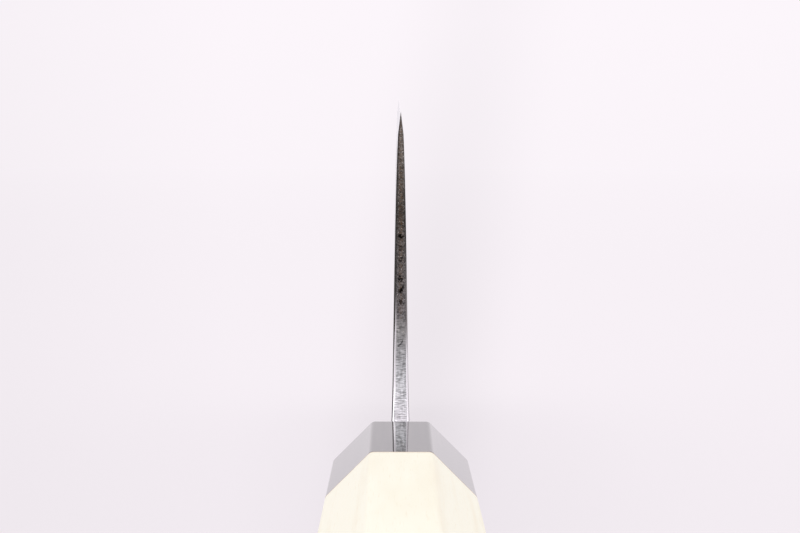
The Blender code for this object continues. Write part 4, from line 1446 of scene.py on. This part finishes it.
blank = bpy.data.meshes.new("blank")
blank.from_pydata(points, [], faces.tolist())
whole_half = half_thickness(y_flat, measures["from_edge"])
rim_half = whole_half - eased_radius(whole_half)
attributes = {name: np.tile(values, 2) for name, values in measures.items()}
attributes |= {"rim_half": np.tile(rim_half, 2), "outer_sheet": np.repeat([1.0, 0.0], back)}
for name, values in attributes.items():
    attribute = blank.attributes.new(name, "FLOAT", "POINT")
    attribute.data.foreach_set("value", values.astype(np.float32))
print("blank", len(blank.polygons), "faces")

# %% [markdown]
# ## Grinding
#
# The blade is forged from three layers, and one tree grinds them all. It works out the thickness
# of the whole blade at each point from the dials, rounds the corners at the rim, and then moves
# the two sheets of the blank out to the faces of one layer. Where a layer has been ground away its
# two sheets meet, and a face goes only if they meet at all of its points, which leaves no gap. Cuts
# with Booleans could part the layers too, but they are slow and ragged where a layer runs out thin.

# %% Dials of the grind
grind, dials = new_tree(
    "grind",
    {
        "Spine at heel": "Float",
        "Spine at front": "Float",
        "Neck": "Float",
        "Grind power": "Float",
        "Edge bevel": "Float",
        "Core": "Float",
        "Eased edge": "Float",
        "Side": "Float",
        "Is cladding": "Float",
        "Finish": "Material",
    },
)
dial = dials.outputs
read = {}
for name in [*measures, "outer_sheet"]:
    reader = add(grind, "GeometryNodeInputNamedAttribute", {"Name": name}, data_type="FLOAT")
    read[name] = reader.outputs[0]
print("the grind reads", len(read), "attributes")

# %% Wedge
# Its thickness is that of the spine times a power of the depth, with a straight bevel at the edge.
spine = add(grind, "ShaderNodeMix", {0: read["along"], 2: dial["Spine at heel"], 3: dial["Spine at front"]})
deep = add(grind, "ShaderNodeMath", {0: read["from_edge"], 1: dial["Edge bevel"]}, operation="MAXIMUM")
deep = add(grind, "ShaderNodeMath", {0: deep.outputs[0], 1: read["blade_height"]}, operation="DIVIDE")
deep = add(grind, "ShaderNodeMath", {0: deep.outputs[0], 1: dial["Grind power"]}, operation="POWER")
bevel = add(grind, "ShaderNodeMath", {0: read["from_edge"], 1: dial["Edge bevel"]}, operation="DIVIDE")
bevel = add(grind, "ShaderNodeMath", {0: bevel.outputs[0], 1: 1.0}, operation="MINIMUM")
wedge = add(grind, "ShaderNodeMath", {0: spine.outputs[0], 1: deep.outputs[0]}, operation="MULTIPLY")
wedge = add(grind, "ShaderNodeMath", {0: wedge.outputs[0], 1: bevel.outputs[0]}, operation="MULTIPLY")
neck = add(grind, "ShaderNodeMath", {0: dial["Neck"], 1: read["taper"]}, operation="MULTIPLY")
whole = add(grind, "ShaderNodeMix", {0: read["shoulder"], 2: wedge.outputs[0], 3: neck.outputs[0]})
half = add(grind, "ShaderNodeMath", {0: whole.outputs[0], 1: 0.5}, operation="MULTIPLY")
print("with the wedge:", len(grind.nodes), "nodes")

# %% Rounded rim
# A quarter round, whose radius is the eased edge, or less where the cladding is thin.
core_half = add(grind, "ShaderNodeMath", {0: dial["Core"], 1: 0.5}, operation="MULTIPLY")
cladding = add(grind, "ShaderNodeMath", {0: half.outputs[0], 1: core_half.outputs[0]}, operation="SUBTRACT")
most = add(grind, "ShaderNodeMath", {0: cladding.outputs[0], 1: EASED_SHARE}, operation="MULTIPLY")
least = add(grind, "ShaderNodeMath", {0: half.outputs[0], 1: LEAST_EASED_SHARE}, operation="MULTIPLY")
radius = add(grind, "ShaderNodeMath", {0: most.outputs[0], 1: least.outputs[0]}, operation="MAXIMUM")
radius = add(grind, "ShaderNodeMath", {0: dial["Eased edge"], 1: radius.outputs[0]}, operation="MINIMUM")
reach = add(grind, "ShaderNodeMath", {0: radius.outputs[0], 1: read["from_rim"]}, operation="SUBTRACT")
reach = add(grind, "ShaderNodeMath", {0: reach.outputs[0], 1: 0.0}, operation="MAXIMUM")
square = add(grind, "ShaderNodeMath", {0: reach.outputs[0], 1: 2.0}, operation="POWER")
square = add(grind, "ShaderNodeMath", {0: square.outputs[0], 1: -1.0}, operation="MULTIPLY")
square = {0: radius.outputs[0], 1: radius.outputs[0], 2: square.outputs[0]}
square = add(grind, "ShaderNodeMath", square, operation="MULTIPLY_ADD")
round_part = add(grind, "ShaderNodeMath", {0: square.outputs[0]}, operation="SQRT")
ease = add(grind, "ShaderNodeMath", {0: radius.outputs[0], 1: round_part.outputs[0]}, operation="SUBTRACT")
surface = add(grind, "ShaderNodeMath", {0: half.outputs[0], 1: ease.outputs[0]}, operation="SUBTRACT")
print("with the rounded rim:", len(grind.nodes), "nodes")

# %% Faces of a layer
# The core fills the middle, as far as the grinding left it, and the cladding what is outside it.
core_half = add(grind, "ShaderNodeMath", {0: core_half.outputs[0], 1: read["wave"]}, operation="MULTIPLY")
weld_face = {0: core_half.outputs[0], 1: surface.outputs[0]}
weld_face = add(grind, "ShaderNodeMath", weld_face, operation="MINIMUM")
far_face = add(grind, "ShaderNodeMath", {0: weld_face.outputs[0], 1: -1.0}, operation="MULTIPLY")
outer_face = {0: dial["Is cladding"], 2: weld_face.outputs[0], 3: surface.outputs[0]}
outer_face = add(grind, "ShaderNodeMix", outer_face)
inner_face = {0: dial["Is cladding"], 2: far_face.outputs[0], 3: weld_face.outputs[0]}
inner_face = add(grind, "ShaderNodeMix", inner_face)
room = {0: outer_face.outputs[0], 1: inner_face.outputs[0]}
room = add(grind, "ShaderNodeMath", room, operation="SUBTRACT")
gone = add(grind, "ShaderNodeMath", {0: room.outputs[0], 1: MERGE_DISTANCE}, operation="LESS_THAN")
gone = add(grind, "GeometryNodeFieldOnDomain", {0: gone.outputs[0]}, data_type="BOOLEAN", domain="POINT")
kept = add(grind, "GeometryNodeDeleteGeometry", {0: dial["Mesh"], 1: gone.outputs[0]}, domain="FACE")
across = {0: read["outer_sheet"], 2: inner_face.outputs[0], 3: outer_face.outputs[0]}
across = add(grind, "ShaderNodeMix", across)
across = add(grind, "ShaderNodeMath", {0: across.outputs[0], 1: dial["Side"]}, operation="MULTIPLY")
point = add(grind, "GeometryNodeInputPosition")
point = add(grind, "ShaderNodeSeparateXYZ", {0: point.outputs[0]})
moved = {0: across.outputs[0], 1: point.outputs["Y"], 2: point.outputs["Z"]}
moved = add(grind, "ShaderNodeCombineXYZ", moved)
layer = add(grind, "GeometryNodeSetPosition", {"Geometry": kept.outputs[0], "Position": moved.outputs[0]})
layer = add(grind, "GeometryNodeMergeByDistance", {"Geometry": layer.outputs[0], "Distance": MERGE_DISTANCE})
layer = add(grind, "GeometryNodeRealizeInstances", {0: layer.outputs[0]})
layer = add(grind, "GeometryNodeSetMaterial", {"Geometry": layer.outputs[0], "Material": dial["Finish"]})
add(grind, "NodeGroupOutput", {0: layer.outputs[0]})
print("grind:", len(grind.nodes), "nodes")

# %% Three layers
BLADE = {
    "Spine at heel": SPINE_THICKNESS_HEEL,
    "Spine at front": SPINE_THICKNESS_FRONT,
    "Neck": NECK_THICKNESS,
    "Grind power": GRIND_POWER,
    "Edge bevel": EDGE_BEVEL,
    "Core": CORE_THICKNESS,
    "Eased edge": EASED_EDGE,
}
CORE = {"Side": 1.0, "Is cladding": 0.0, "Finish": core_steel}
RIGHT = {"Side": 1.0, "Is cladding": 1.0, "Finish": soft_steel}
LEFT = {"Side": -1.0, "Is cladding": 1.0, "Finish": soft_steel}
core = run_tree("hard_core", blank, grind, BLADE | CORE)
right = run_tree("right_cladding", blank, grind, BLADE | RIGHT)
left = run_tree("left_cladding", blank, grind, BLADE | LEFT)
print("layers", [len(layer.data.polygons) for layer in (core, right, left)], "faces")

# %% [markdown]
# ## Putting it together
#
# Each new piece stands for its node of the model, and rides on the one body of the knife. The dowel
# and its seal have the right shape already, so they keep their nodes and get a better finish.

# %% Pieces and nodes
for piece, node, finish in (
    (ferrule, "ferrule", "black_horn"),
    (handle, "handle_body", "magnolia_wood"),
    (core, "blade_core", "core_steel"),
    (right, "cladding_right", "cladding_steel"),
    (left, "cladding_left", "cladding_steel"),
):
    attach(piece, "root")
    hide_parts(node)
for node, material in (("tang_dowel", dowel_wood), ("tang_seal", resin)):
    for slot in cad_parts[node].material_slots:
        slot.material = material
